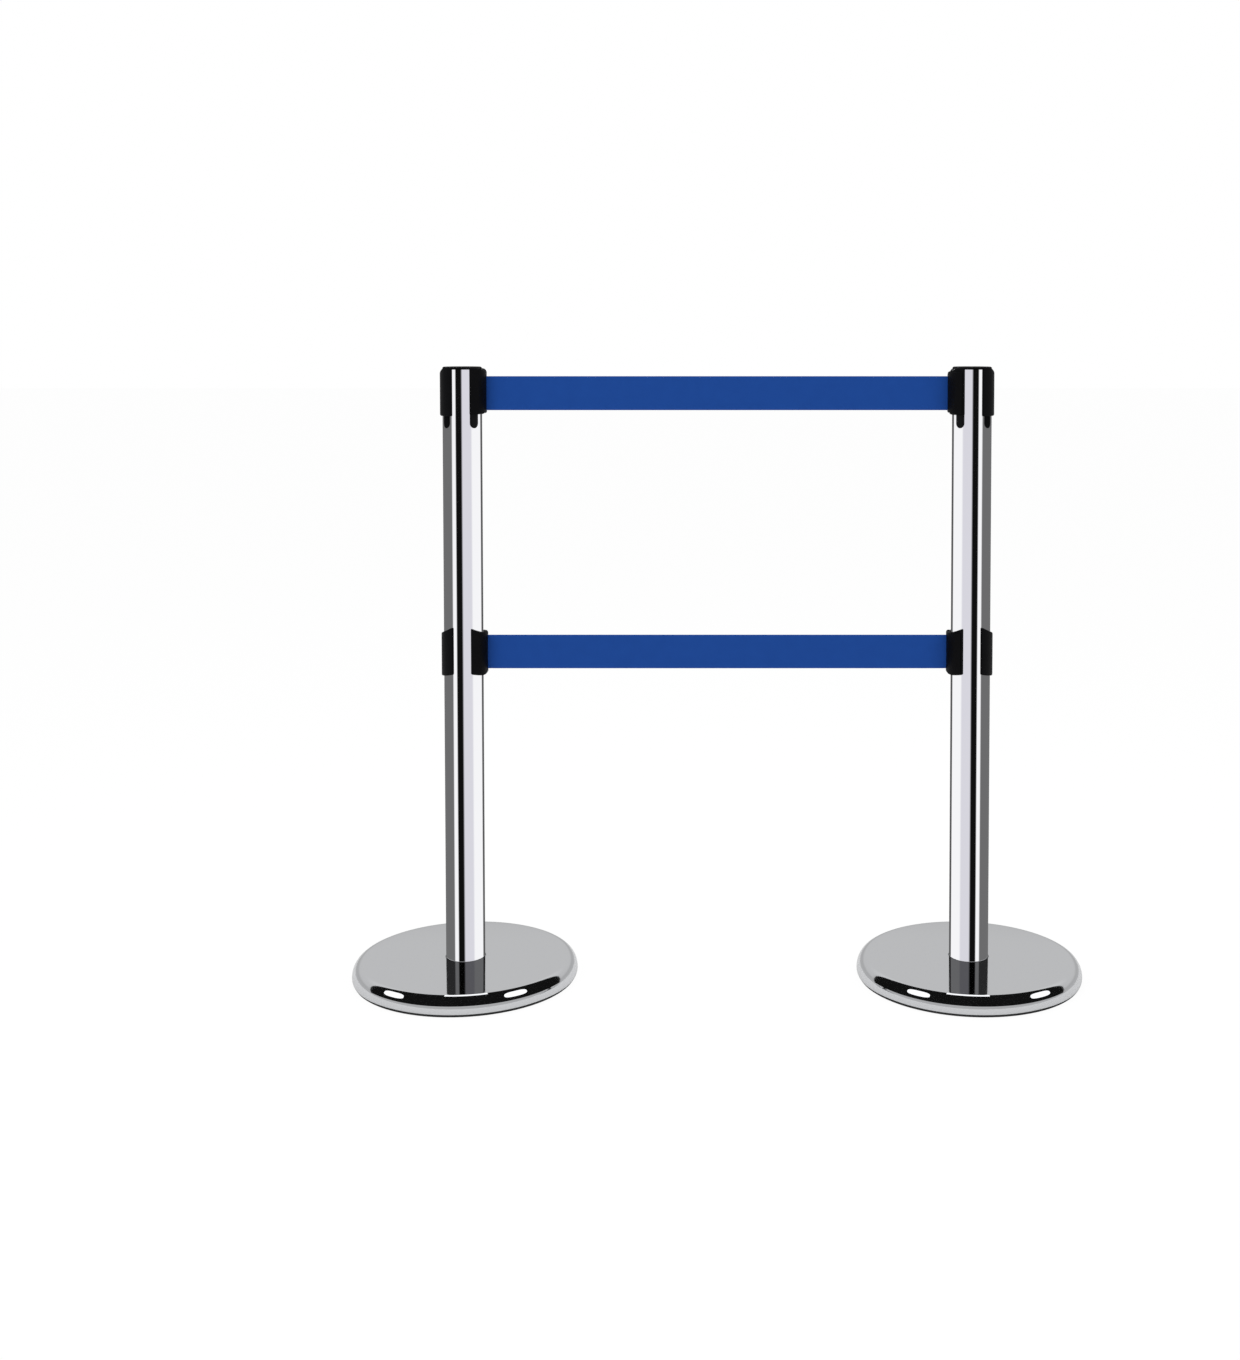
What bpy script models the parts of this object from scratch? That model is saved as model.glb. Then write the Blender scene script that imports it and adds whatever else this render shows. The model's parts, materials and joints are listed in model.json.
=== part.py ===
"""Retractable belt stanchion: a pair of weighted posts joined by two retractable belts.

Metres, +Z up, origin on the floor half way between the posts. The left post (-X) holds two
spring reels; the right post (+X) holds the receivers that catch the belts' clips. Each post is
made in its own frame, whose +X points at the other post, and the right post is the left one's
frame turned half a turn about Z.
"""

import math

import bmesh
import bpy
from mathutils import Matrix, Vector

MM = 0.001
GAP = 0.3 * MM  # clearance between pieces that touch
SLACK = 2 * MM  # how far a cutter runs past the face that it opens
ROUNDING = 1e-9  # keeps a whole number of steps whole

# Overall sizes
HEIGHT = 1000 * MM
POST_SPACING = 825 * MM
TUBE_RADIUS = 31.75 * MM
TUBE_WALL = 1.5 * MM
BASE_RADIUS = 183 * MM
BASE_HEIGHT = 34 * MM

# Facets of a full turn
ROUND = 28
INSIDE = 20  # what the cover, the tube and the lid hide
SMALL = 14
TINY = 8

# Base
COVER_SHEET = 1.2 * MM
COVER_SHOULDER = 17 * MM  # how far in the rounded shoulder reaches
COVER_RIM_HEIGHT = 10 * MM  # where the cover is widest
COVER_RIM_TUCK = 3 * MM
COVER_FLOOR_GAP = 2 * MM
COVER_CROWN = 1.5 * MM  # rise of the top from its shoulder to its middle
FLOOR_RING_WIDTH = 12 * MM
FLOOR_RING_HEIGHT = 4 * MM
FLOOR_RING_INSET = 7 * MM  # from the cover's inner wall
FLOOR_RING_SEAT = 1.6 * MM  # how far the ring sits up in its groove
WEIGHT_EDGE = 1.5 * MM  # between the weight and the cover's inner wall
WEIGHT_HEIGHT = 14 * MM
WEIGHT_BOSS_RADIUS = 46 * MM
WEIGHT_BEVEL = 2.5 * MM

# Foot fastening
BOLT_RADIUS = 6 * MM
BOLT_HEAD_ACROSS = 19 * MM
BOLT_HEAD_HEIGHT = 7.5 * MM
BOLT_HOLE_PLAY = 0.6 * MM
BOLT_ENGAGEMENT = 18 * MM
WASHER_RADIUS = 15 * MM
WASHER_THICKNESS = 2.5 * MM
RECESS_RADIUS = 19 * MM
RECESS_DEPTH = 12 * MM
PLUG_HEIGHT = 24 * MM
PLUG_GROOVE = 1 * MM

# Belt and reel
BELT_WIDTH = 55 * MM
BELT_THICKNESS = 0.5 * MM
BELT_LENGTH = 2150 * MM
HUB_RADIUS = 9 * MM
FLANGE_RADIUS = 21.8 * MM
FLANGE_THICKNESS = 1.4 * MM
FLANGE_PLAY = 0.5 * MM  # between the belt's edge and a flange
SPINDLE_RADIUS = 3 * MM
ARBOR_RADIUS = 5.5 * MM
HOUSING_WALL = 2.2 * MM
HOUSING_END = 2 * MM
SPOOL_END_PLAY = 0.6 * MM
SPRING_WIDTH = 12 * MM
SPRING_STRIP = 0.6 * MM
SPRING_TURNS = 5
SPRING_STEPS = 12  # facets a turn
SPRING_EDGE_PLAY = 0.5 * MM
SPRING_WALL_PLAY = 0.6 * MM
PARTITION = 1.5 * MM
PIN_RADIUS = 2 * MM
PIN_SETBACK = 3.35 * MM  # from the chamber's wall in to the guide pin's axis
PIN_SEAT = 1.2 * MM

# Heads
TOP_BELT_DROP = 43 * MM  # from the top of the lid to the top belt's middle
MID_BELT_HEIGHT = 536 * MM
LID_THICKNESS = 4 * MM
LID_ROUND = 3 * MM
LID_SCREW_RADIUS = 1.5 * MM
LID_SCREW_HEAD = 4.2 * MM
LID_SCREW_HEAD_HEIGHT = 2.2 * MM
RIB_WIDTH = 16 * MM
RIB_ANGLE = 45
RIB_REACH = 59 * MM  # from the belt's middle down to the end of a rib
BEZEL_THICKNESS = 3.7 * MM
BEZEL_HALF_ANGLE = 60
TOP_BEZEL_ABOVE = 40 * MM
TOP_BEZEL_BELOW = 37 * MM
MID_BEZEL_ABOVE = 40 * MM
MID_BEZEL_BELOW = 40 * MM
BEZEL_CORNER = 6 * MM
NOSE_THICKNESS = 3.5 * MM  # nozzle and clip, outside the bezel
MOUTH_WIDTH = 3 * MM  # slit that the belt runs out of
MOUTH_PLAY = 1.5 * MM  # above and below the belt
PEG_RADIUS = 2.2 * MM
PEG_DROP = 34 * MM  # from the belt's middle
WINDOW_WIDTH = 9 * MM

# Receiver slot and the clip that slides down into it
SLOT_DEPTH = 2.3 * MM
SLOT_HALF_ANGLE = 23
NECK_HALF_ANGLE = 11.5
CLIP_PLAY_ANGLE = 0.6
CLIP_NOSE_HALF_ANGLE = 56
CLIP_CORNER = 5 * MM
CLIP_PIN_RADIUS = 1 * MM
CLIP_PIN_SETBACK = 0.45 * MM  # from the nose's inner face in to the belt pin's axis
CLIP_CAVITY_RADIUS = 2.2 * MM
CLIP_CAVITY_FLOOR = 0.7 * MM
CLIP_SLIT = 1.2 * MM
CORE_WALL = 3 * MM
CORE_WEB = 3 * MM
CORE_DEPTH = 47 * MM  # from the belt's middle down to the mid core's foot

# Small forms
SHOULDER_STEPS = 5
LID_STEPS = 2
PIN_STEPS = 4
BOLT_CHAMFER = 1 * MM
RIB_ROOT = 1 * MM  # how deep the ribs' ring is sunk in the wall that carries it
SPRING_LEDGE = 1.5 * MM
SPRING_BIAS = 0.6  # under 1 crowds the spring's turns towards the outside
SPINDLE_HEAD = 1.5 * MM
SPINDLE_HEAD_RADIUS = 5 * MM
LID_SCREW_GRIP = 6 * MM  # how deep the screw enters the head
PEG_ANGLE = 18
PEG_BITE = 2.5 * MM  # how far a peg enters the head inside the tube
SLOT_FLOOR_DROP = 31 * MM  # from the belt's middle
TOP_BEZEL_CORNER = 4 * MM
TOP_BEZEL_SLOPE = 4 * MM  # fall of the top edge from the post's middle to the bezel's outside
MID_BEZEL_SLOPE = 10 * MM  # the same on the middle head
MID_BEZEL_RISE = 2 * MM  # rise of its bottom edge
SWELL_HALF_ANGLE = 40
CLIP_ABOVE = 35 * MM  # from the belt's middle to the clip's top and foot
CLIP_EDGE = 1.2 * MM
CLIP_CAP_PLATE = 1.5 * MM
CLIP_CAP_INSET = 1 * MM
CLIP_CAP_HALF_ANGLE = 9
BELT_WRAP = 25  # how much of the coil the belt's free end still lies along

# Places that follow from the sizes
TUBE_BORE = TUBE_RADIUS - TUBE_WALL
TUBE_FOOT = BASE_HEIGHT + GAP
TUBE_TOP = HEIGHT - LID_THICKNESS - GAP
TOP_BELT_HEIGHT = HEIGHT - TOP_BELT_DROP
HEADS = {"top": TOP_BELT_HEIGHT, "mid": MID_BELT_HEIGHT}
CORE_RADIUS = TUBE_BORE - GAP
CHAMBER_RADIUS = CORE_RADIUS - HOUSING_WALL
SPRING_CHAMBER_RADIUS = CHAMBER_RADIUS - SPRING_LEDGE
PIN_REACH = CHAMBER_RADIUS - PIN_SETBACK
HALF_BELT = BELT_WIDTH / 2
FLANGE_FACE = HALF_BELT + FLANGE_PLAY
SPOOL_END = FLANGE_FACE + FLANGE_THICKNESS
CEILING = SPOOL_END + SPOOL_END_PLAY
HOUSING_TOP = CEILING + HOUSING_END
PARTITION_FOOT = -CEILING - PARTITION
LEDGE = PARTITION_FOOT - GAP
SPRING_TOP = PARTITION_FOOT - SPRING_EDGE_PLAY
SPRING_FOOT = SPRING_TOP - SPRING_WIDTH
SPRING_FLOOR = SPRING_FOOT - SPRING_EDGE_PLAY
HOUSING_FOOT = SPRING_FLOOR - HOUSING_END
BEZEL_INNER = TUBE_RADIUS + GAP
BEZEL_OUTER = BEZEL_INNER + BEZEL_THICKNESS
NOSE_INNER = BEZEL_OUTER + GAP
NOSE_OUTER = NOSE_INNER + NOSE_THICKNESS
CLIP_PIN_REACH = NOSE_INNER - CLIP_PIN_SETBACK
MOUTH_HALF_HEIGHT = HALF_BELT + MOUTH_PLAY
CLIP_PIN_FACE = CLIP_PIN_REACH + CLIP_PIN_RADIUS + GAP
BELT_SPAN = POST_SPACING - PIN_REACH - CLIP_PIN_FACE
COIL_RADIUS = math.sqrt(HUB_RADIUS**2 + (BELT_LENGTH - BELT_SPAN) * BELT_THICKNESS / math.pi)
COVER_INNER_RADIUS = BASE_RADIUS - COVER_RIM_TUCK - COVER_SHEET
WEIGHT_FOOT = FLOOR_RING_HEIGHT - FLOOR_RING_SEAT
WEIGHT_RADIUS = COVER_INNER_RADIUS - WEIGHT_EDGE
WEIGHT_TOP = WEIGHT_FOOT + WEIGHT_HEIGHT
BOSS_TOP = BASE_HEIGHT - COVER_SHEET - GAP
BOLT_HOLE = BOLT_RADIUS + BOLT_HOLE_PLAY
RECESS_TOP = WEIGHT_FOOT + RECESS_DEPTH
WASHER_TOP = RECESS_TOP - GAP
BOLT_SEAT = WASHER_TOP - WASHER_THICKNESS - GAP

COLOURS = {
    "chrome": ((0.80, 0.81, 0.84), 1.0, 0.06),
    "cast_iron": ((0.16, 0.16, 0.17), 0.6, 0.6),
    "black_rubber": ((0.03, 0.03, 0.03), 0.0, 0.75),
    "zinc_steel": ((0.62, 0.63, 0.62), 1.0, 0.35),
    "black_plastic": ((0.02, 0.02, 0.022), 0.0, 0.38),
    "grey_plastic": ((0.35, 0.36, 0.38), 0.0, 0.45),
    "spring_steel": ((0.30, 0.32, 0.36), 1.0, 0.3),
    "blue_webbing": ((0.02, 0.06, 0.33), 0.0, 0.85),
}


def clear_scene():
    for old in list(bpy.data.objects):
        bpy.data.objects.remove(old, do_unlink=True)


def new_collection(name):
    group = bpy.data.collections.new(name)
    bpy.context.scene.collection.children.link(group)
    return group


def finish_material(name):
    """The Principled material of this name, made on its first use."""
    found = bpy.data.materials.get(name)
    if found:
        return found
    colour, metallic, roughness = COLOURS[name]
    made = bpy.data.materials.new(name)
    made.use_nodes = True
    shader = made.node_tree.nodes["Principled BSDF"]
    shader.inputs["Base Color"].default_value = (*colour, 1)
    shader.inputs["Metallic"].default_value = metallic
    shader.inputs["Roughness"].default_value = roughness
    return made


class Workshop:
    """Adds pieces and cutters to one frame: a post, or the floor between the posts."""

    parts = None
    cutters = None

    def __init__(self, prefix, x=0.0, turn=0.0):
        self.prefix = prefix
        self.frame = bpy.data.objects.new(f"{prefix}frame", None)
        self.frame.location = (x, 0, 0)
        self.frame.rotation_euler = (0, 0, turn)
        Workshop.parts.objects.link(self.frame)

    def piece(self, name, mesh, finish):
        """A sub-part in its own node."""
        made = bpy.data.objects.new(self.prefix + name, mesh)
        Workshop.parts.objects.link(made)
        made.parent = self.frame
        mesh.materials.clear()
        mesh.materials.append(finish_material(finish))
        return made

    def cutter(self, name, mesh):
        """A helper for Booleans, hidden in renders."""
        made = bpy.data.objects.new(f"{self.prefix}{name}_cutter", mesh)
        Workshop.cutters.objects.link(made)
        made.parent = self.frame
        made.hide_render = True
        made.display_type = "WIRE"
        return made


def combine(piece, other, operation="DIFFERENCE"):
    modifier = piece.modifiers.new(operation.lower(), "BOOLEAN")
    modifier.operation = operation
    modifier.object = other
    return piece


def polar(radius, degrees):
    angle = math.radians(degrees)
    return (radius * math.cos(angle), radius * math.sin(angle))


def arc(radius, start, end, full_turn=ROUND):
    """Points of an arc about the origin. The radius is a length, or a function of the angle."""
    steps = max(1, math.ceil(abs(end - start) * full_turn / 360 - ROUNDING))
    angles = [start + (end - start) * step / steps for step in range(steps + 1)]
    return [polar(radius(angle) if callable(radius) else radius, angle) for angle in angles]


def circle(radius, steps, centre=(0, 0), start=0):
    points = [polar(radius, start + 360 * step / steps) for step in range(steps)]
    return [(centre[0] + x, centre[1] + y) for x, y in points]


def sector(inner, outer, half_angle, middle=0):
    """A stretch of a ring, as an outline."""
    return (arc(outer, middle - half_angle, middle + half_angle)
            + arc(inner, middle + half_angle, middle - half_angle))


def rectangle(low_x, high_x, low_y, high_y):
    return [(low_x, low_y), (high_x, low_y), (high_x, high_y), (low_x, high_y)]


def rounded(corners, radii, steps=4):
    """A polygon whose corners are rounded by arcs, each of its own radius."""
    outline = []
    for index, (corner, radius) in enumerate(zip(corners, radii)):
        here = Vector(corner)
        before = (Vector(corners[index - 1]) - here).normalized()
        after = (Vector(corners[(index + 1) % len(corners)]) - here).normalized()
        if radius <= 0:
            outline.append(corner)
            continue
        half = before.angle(after) / 2
        middle = here + (before + after).normalized() * (radius / math.sin(half))
        first = here + before * (radius / math.tan(half)) - middle
        last = here + after * (radius / math.tan(half)) - middle
        for step in range(steps + 1):
            share = step / steps
            outline.append(tuple(middle + first.slerp(last, share) * radius))
    return outline


def smooth(mesh):
    mesh.shade_smooth()
    mesh.set_sharp_from_angle(angle=math.radians(30))
    return mesh


def prism(name, outlines, bottom, top, matrix=None):
    """Flat outlines, the later ones holes in the first, extruded from bottom to top."""
    curve = bpy.data.curves.new(name, "CURVE")
    curve.dimensions = "2D"
    curve.fill_mode = "BOTH"
    curve.extrude = (top - bottom) / 2
    for outline in outlines:
        spline = curve.splines.new("POLY")
        spline.points.add(len(outline) - 1)
        for point, (x, y) in zip(spline.points, outline):
            point.co = (x, y, 0, 1)
        spline.use_cyclic_u = True
    outline_object = bpy.data.objects.new(name, curve)
    bpy.context.scene.collection.objects.link(outline_object)
    graph = bpy.context.evaluated_depsgraph_get()
    mesh = bpy.data.meshes.new_from_object(outline_object.evaluated_get(graph))
    bpy.data.objects.remove(outline_object)
    shift = Matrix.Translation((0, 0, (top + bottom) / 2))
    mesh.transform(matrix @ shift if matrix else shift)
    work = bmesh.new()
    work.from_mesh(mesh)
    bmesh.ops.remove_doubles(work, verts=work.verts, dist=0.01 * MM)
    bmesh.ops.recalc_face_normals(work, faces=work.faces)
    work.to_mesh(mesh)
    work.free()
    return smooth(mesh)


def joined(*meshes):
    """One mesh that holds several separate bodies, for use as a cutter."""
    work = bmesh.new()
    for mesh in meshes:
        work.from_mesh(mesh)
    mesh = bpy.data.meshes.new("joined")
    work.to_mesh(mesh)
    work.free()
    return mesh


def profile_mesh(name, profile, closed):
    edges = [(index, index + 1) for index in range(len(profile) - 1)]
    if closed:
        edges.append((len(profile) - 1, 0))
    mesh = bpy.data.meshes.new(name)
    mesh.from_pydata([(radius, 0, height) for radius, height in profile], edges, [])
    return mesh


def turn(piece, steps=ROUND):
    """Turns a piece's profile about the frame's Z axis."""
    modifier = piece.modifiers.new("turn", "SCREW")
    modifier.steps = steps
    modifier.render_steps = steps
    modifier.use_merge_vertices = True
    modifier.merge_threshold = 0.01 * MM
    return piece


def at_height(profile, height):
    return [(radius, height + z) for radius, z in profile]


def front_view():
    """Stands a flat outline up in the XZ plane, extruded along Y."""
    return Matrix.Rotation(math.radians(90), 4, "X")


def make_base(shop):
    """The weight, its polished cover and the rubber ring that it stands on."""
    groove_out = COVER_INNER_RADIUS - FLOOR_RING_INSET
    groove_in = groove_out - FLOOR_RING_WIDTH
    ring = [(groove_out, FLOOR_RING_HEIGHT), (groove_out, 0), (groove_in, 0), (groove_in, FLOOR_RING_HEIGHT)]
    turn(shop.piece("floor_ring", profile_mesh("floor_ring", ring, True), "black_rubber"), INSIDE)

    groove_top = FLOOR_RING_HEIGHT + GAP
    weight = [
        (WEIGHT_BOSS_RADIUS, BOSS_TOP),
        (WEIGHT_BOSS_RADIUS + WEIGHT_BEVEL, WEIGHT_TOP + WEIGHT_BEVEL),
        (WEIGHT_BOSS_RADIUS + 2 * WEIGHT_BEVEL, WEIGHT_TOP),
        (WEIGHT_RADIUS - WEIGHT_BEVEL, WEIGHT_TOP),
        (WEIGHT_RADIUS, WEIGHT_TOP - WEIGHT_BEVEL),
        (WEIGHT_RADIUS, WEIGHT_FOOT),
        (groove_out + GAP, WEIGHT_FOOT),
        (groove_out + GAP, groove_top),
        (groove_in - GAP, groove_top),
        (groove_in - GAP, WEIGHT_FOOT),
        (RECESS_RADIUS, WEIGHT_FOOT),
        (RECESS_RADIUS, RECESS_TOP),
        (BOLT_HOLE, RECESS_TOP),
        (BOLT_HOLE, BOSS_TOP),
    ]
    turn(shop.piece("base_weight", profile_mesh("base_weight", weight, True), "cast_iron"), INSIDE)

    shoulder_in = BASE_RADIUS - COVER_SHOULDER
    shoulder_rise = BASE_HEIGHT - COVER_CROWN - COVER_RIM_HEIGHT
    cover = [(BOLT_HOLE, BASE_HEIGHT), (WEIGHT_BOSS_RADIUS, BASE_HEIGHT)]
    for step in range(SHOULDER_STEPS + 1):
        across, up = polar(1, 90 - 90 * step / SHOULDER_STEPS)
        cover.append((shoulder_in + COVER_SHOULDER * across, COVER_RIM_HEIGHT + shoulder_rise * up))
    cover.append((BASE_RADIUS - COVER_RIM_TUCK / 3, COVER_RIM_HEIGHT / 2))
    cover.append((BASE_RADIUS - COVER_RIM_TUCK, COVER_FLOOR_GAP))
    shell = turn(shop.piece("base_cover", profile_mesh("base_cover", cover, False), "chrome"))
    sheet = shell.modifiers.new("sheet", "SOLIDIFY")
    sheet.thickness = COVER_SHEET
    sheet.offset = -1
    sheet.use_even_offset = True


def make_foot(shop):
    """The bolt and washer under the base, and the threaded plug in the tube's foot."""
    washer = [(WASHER_RADIUS, WASHER_TOP), (WASHER_RADIUS, WASHER_TOP - WASHER_THICKNESS),
              (BOLT_HOLE, WASHER_TOP - WASHER_THICKNESS), (BOLT_HOLE, WASHER_TOP)]
    turn(shop.piece("foot_washer", profile_mesh("foot_washer", washer, True), "zinc_steel"), SMALL)

    bolt_top = TUBE_FOOT + BOLT_ENGAGEMENT
    shank = [(0, bolt_top), (BOLT_RADIUS - BOLT_CHAMFER, bolt_top), (BOLT_RADIUS, bolt_top - BOLT_CHAMFER),
             (BOLT_RADIUS, BOLT_SEAT - BOLT_HEAD_HEIGHT / 2), (0, BOLT_SEAT - BOLT_HEAD_HEIGHT / 2)]
    bolt = turn(shop.piece("foot_bolt", profile_mesh("foot_bolt", shank, False), "zinc_steel"), SMALL)
    corner_radius = BOLT_HEAD_ACROSS / 2 / math.cos(math.radians(30))
    head = prism("bolt_head", [circle(corner_radius, 6)], BOLT_SEAT - BOLT_HEAD_HEIGHT, BOLT_SEAT)
    combine(bolt, shop.cutter("bolt_head", head), "UNION")

    plug_top = TUBE_FOOT + PLUG_HEIGHT
    thread, plug_foot = BOLT_RADIUS + GAP, TUBE_FOOT + GAP
    plug = [(CORE_RADIUS - PLUG_GROOVE, plug_top), (CORE_RADIUS, plug_top - PLUG_GROOVE),
            (CORE_RADIUS, plug_foot), (thread, plug_foot), (thread, plug_top)]
    turn(shop.piece("foot_plug", profile_mesh("foot_plug", plug, True), "zinc_steel"), INSIDE)


def rib_outline(width, bottom, top):
    """A rib's front view: straight sides and a half round foot."""
    foot = [(x, bottom + width / 2 + y) for x, y in arc(width / 2, 180, 360, SMALL)]
    return foot + [(width / 2, top), (-width / 2, top)]


def rib_blocks(play, bottom, top):
    """Four radial blocks in the places of a top head's ribs."""
    outline = rib_outline(RIB_WIDTH + 2 * play, bottom - play, top)
    upright = front_view()
    blocks = []
    for index in range(4):
        spin = Matrix.Rotation(math.radians(RIB_ANGLE + 90 + 90 * index), 4, "Z")
        blocks.append(prism("rib", [outline], CHAMBER_RADIUS, BEZEL_OUTER, spin @ upright))
    return joined(*blocks)


def peg_cylinders(play, height, facing, inner):
    """The two pegs that hold a bezel, pointing out through the tube on the facing side."""
    pegs = []
    for angle in (-PEG_ANGLE, PEG_ANGLE):
        spin = Matrix.Rotation(math.radians(facing + angle), 4, "Z")
        lie = Matrix.Rotation(math.radians(90), 4, "Y")
        lift = Matrix.Translation((0, 0, height - PEG_DROP))
        outline = circle(PEG_RADIUS + play, TINY)
        pegs.append(prism("peg", [outline], inner, BEZEL_INNER + BEZEL_THICKNESS / 2, lift @ spin @ lie))
    return joined(*pegs)


def mouth_block(height, width, inner, outer):
    """The slit that a belt passes through on the belt side."""
    outline = rectangle(inner, outer, -width / 2, width / 2)
    return prism("mouth", [outline], height - MOUTH_HALF_HEIGHT, height + MOUTH_HALF_HEIGHT)


def make_tube(shop, has_reels):
    walls = [(TUBE_RADIUS, TUBE_TOP), (TUBE_RADIUS, TUBE_FOOT), (TUBE_BORE, TUBE_FOOT), (TUBE_BORE, TUBE_TOP)]
    tube = turn(shop.piece("post_tube", profile_mesh("post_tube", walls, True), "chrome"))
    slots = rib_blocks(GAP, TOP_BELT_HEIGHT - RIB_REACH, HEIGHT + SLACK)
    combine(tube, shop.cutter("tube_slots", slots))
    for level, height in HEADS.items():
        for side, facing in (("inner", 0), ("outer", 180)):
            holes = peg_cylinders(GAP, height, facing, CHAMBER_RADIUS)
            combine(tube, shop.cutter(f"{level}_{side}_peg_holes", holes))
        if has_reels:
            window = mouth_block(height, WINDOW_WIDTH, CHAMBER_RADIUS, BEZEL_OUTER)
            combine(tube, shop.cutter(f"{level}_window", window))


def make_lid(shop):
    """The thin cap on the tube, and the screw that holds it to the head below."""
    spigot_foot = TOP_BELT_HEIGHT + HOUSING_TOP + GAP
    brim = HEIGHT - LID_THICKNESS
    head_seat = HEIGHT - LID_SCREW_HEAD_HEIGHT - GAP
    profile = [(TUBE_RADIUS - LID_ROUND, HEIGHT)]
    for step in range(1, LID_STEPS + 1):
        across, up = polar(LID_ROUND, 90 - 90 * step / LID_STEPS)
        profile.append((TUBE_RADIUS - LID_ROUND + across, HEIGHT - LID_ROUND + up))
    hole = LID_SCREW_RADIUS + GAP
    profile += [(TUBE_RADIUS, brim), (CORE_RADIUS, brim), (CORE_RADIUS, spigot_foot), (hole, spigot_foot),
                (hole, head_seat), (LID_SCREW_HEAD + GAP, head_seat), (LID_SCREW_HEAD + GAP, HEIGHT)]
    turn(shop.piece("lid", profile_mesh("lid", profile, True), "black_plastic"))

    head_foot = head_seat + GAP
    tip = spigot_foot - LID_SCREW_GRIP
    screw = [(0, HEIGHT), (LID_SCREW_HEAD, HEIGHT), (LID_SCREW_HEAD, head_foot),
             (LID_SCREW_RADIUS, head_foot), (LID_SCREW_RADIUS, tip), (0, tip)]
    turn(shop.piece("lid_screw", profile_mesh("lid_screw", screw, False), "zinc_steel"), SMALL)


def rib_ring(shop, name, height):
    """A top head's four ribs, flush with the tube, on a thin ring that joins the head's wall."""
    outer, inner = TUBE_RADIUS, CORE_RADIUS - RIB_ROOT
    top = height + HOUSING_TOP
    bottom = height - RIB_REACH - SLACK
    walls = [(outer, top), (outer, bottom), (inner, bottom), (inner, top)]
    ring = shop.cutter(f"{name}_rib_ring", profile_mesh("ring", walls, True))
    turn(ring)
    blocks = rib_blocks(0, height - RIB_REACH, top + SLACK)
    combine(ring, shop.cutter(f"{name}_rib_blocks", blocks), "INTERSECT")
    return ring


def make_housing(shop, level, height):
    """The reel's moulded housing, split into a front and a rear half."""
    is_top = level == "top"
    foot = -RIB_REACH if is_top else HOUSING_FOOT
    seat = SPINDLE_RADIUS + GAP
    profile = at_height([
        (CORE_RADIUS, HOUSING_TOP), (CORE_RADIUS, foot), (CHAMBER_RADIUS, foot),
        (CHAMBER_RADIUS, HOUSING_FOOT), (seat, HOUSING_FOOT), (seat, SPRING_FLOOR),
        (SPRING_CHAMBER_RADIUS, SPRING_FLOOR), (SPRING_CHAMBER_RADIUS, LEDGE), (CHAMBER_RADIUS, LEDGE),
        (CHAMBER_RADIUS, CEILING), (seat, CEILING), (seat, HOUSING_TOP),
    ], height)
    if not is_top:
        profile.remove(profile[3])
        profile.remove(profile[2])
    ribs = rib_ring(shop, level, height) if is_top else None
    mouth = shop.cutter(f"{level}_housing_mouth",
                        mouth_block(height, WINDOW_WIDTH, PIN_REACH, BEZEL_OUTER))
    pin_hole = prism("pin_seat", [circle(PIN_RADIUS + GAP, TINY, guide_pin_centre())],
                     height, height + CEILING + PIN_SEAT)
    pin_seat = shop.cutter(f"{level}_pin_seat", pin_hole)
    for side, sign in (("front", -1), ("rear", 1)):
        half = turn(shop.piece(f"{level}_housing_{side}", profile_mesh("housing", profile, True),
                               "black_plastic" if is_top else "grey_plastic"), INSIDE)
        if ribs:
            combine(half, ribs, "UNION")
        reach = BASE_RADIUS
        edges = sorted((sign * GAP / 2, sign * reach))
        block = prism("half", [rectangle(-reach, reach, *edges)], height - reach, height + reach)
        combine(half, shop.cutter(f"{level}_{side}_half", block), "INTERSECT")
        combine(half, mouth)
        if side == "rear":
            combine(half, pin_seat)
        for facing in (0, 180):
            holes = peg_cylinders(GAP, height, facing, SPRING_CHAMBER_RADIUS - SLACK)
            combine(half, shop.cutter(f"{level}_{side}_holes_{facing}", holes))


def guide_pin_centre():
    """The belt leaves along the frame's X axis, so the pin stands just beside it."""
    return (PIN_REACH, PIN_RADIUS + GAP + BELT_THICKNESS / 2)


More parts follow.
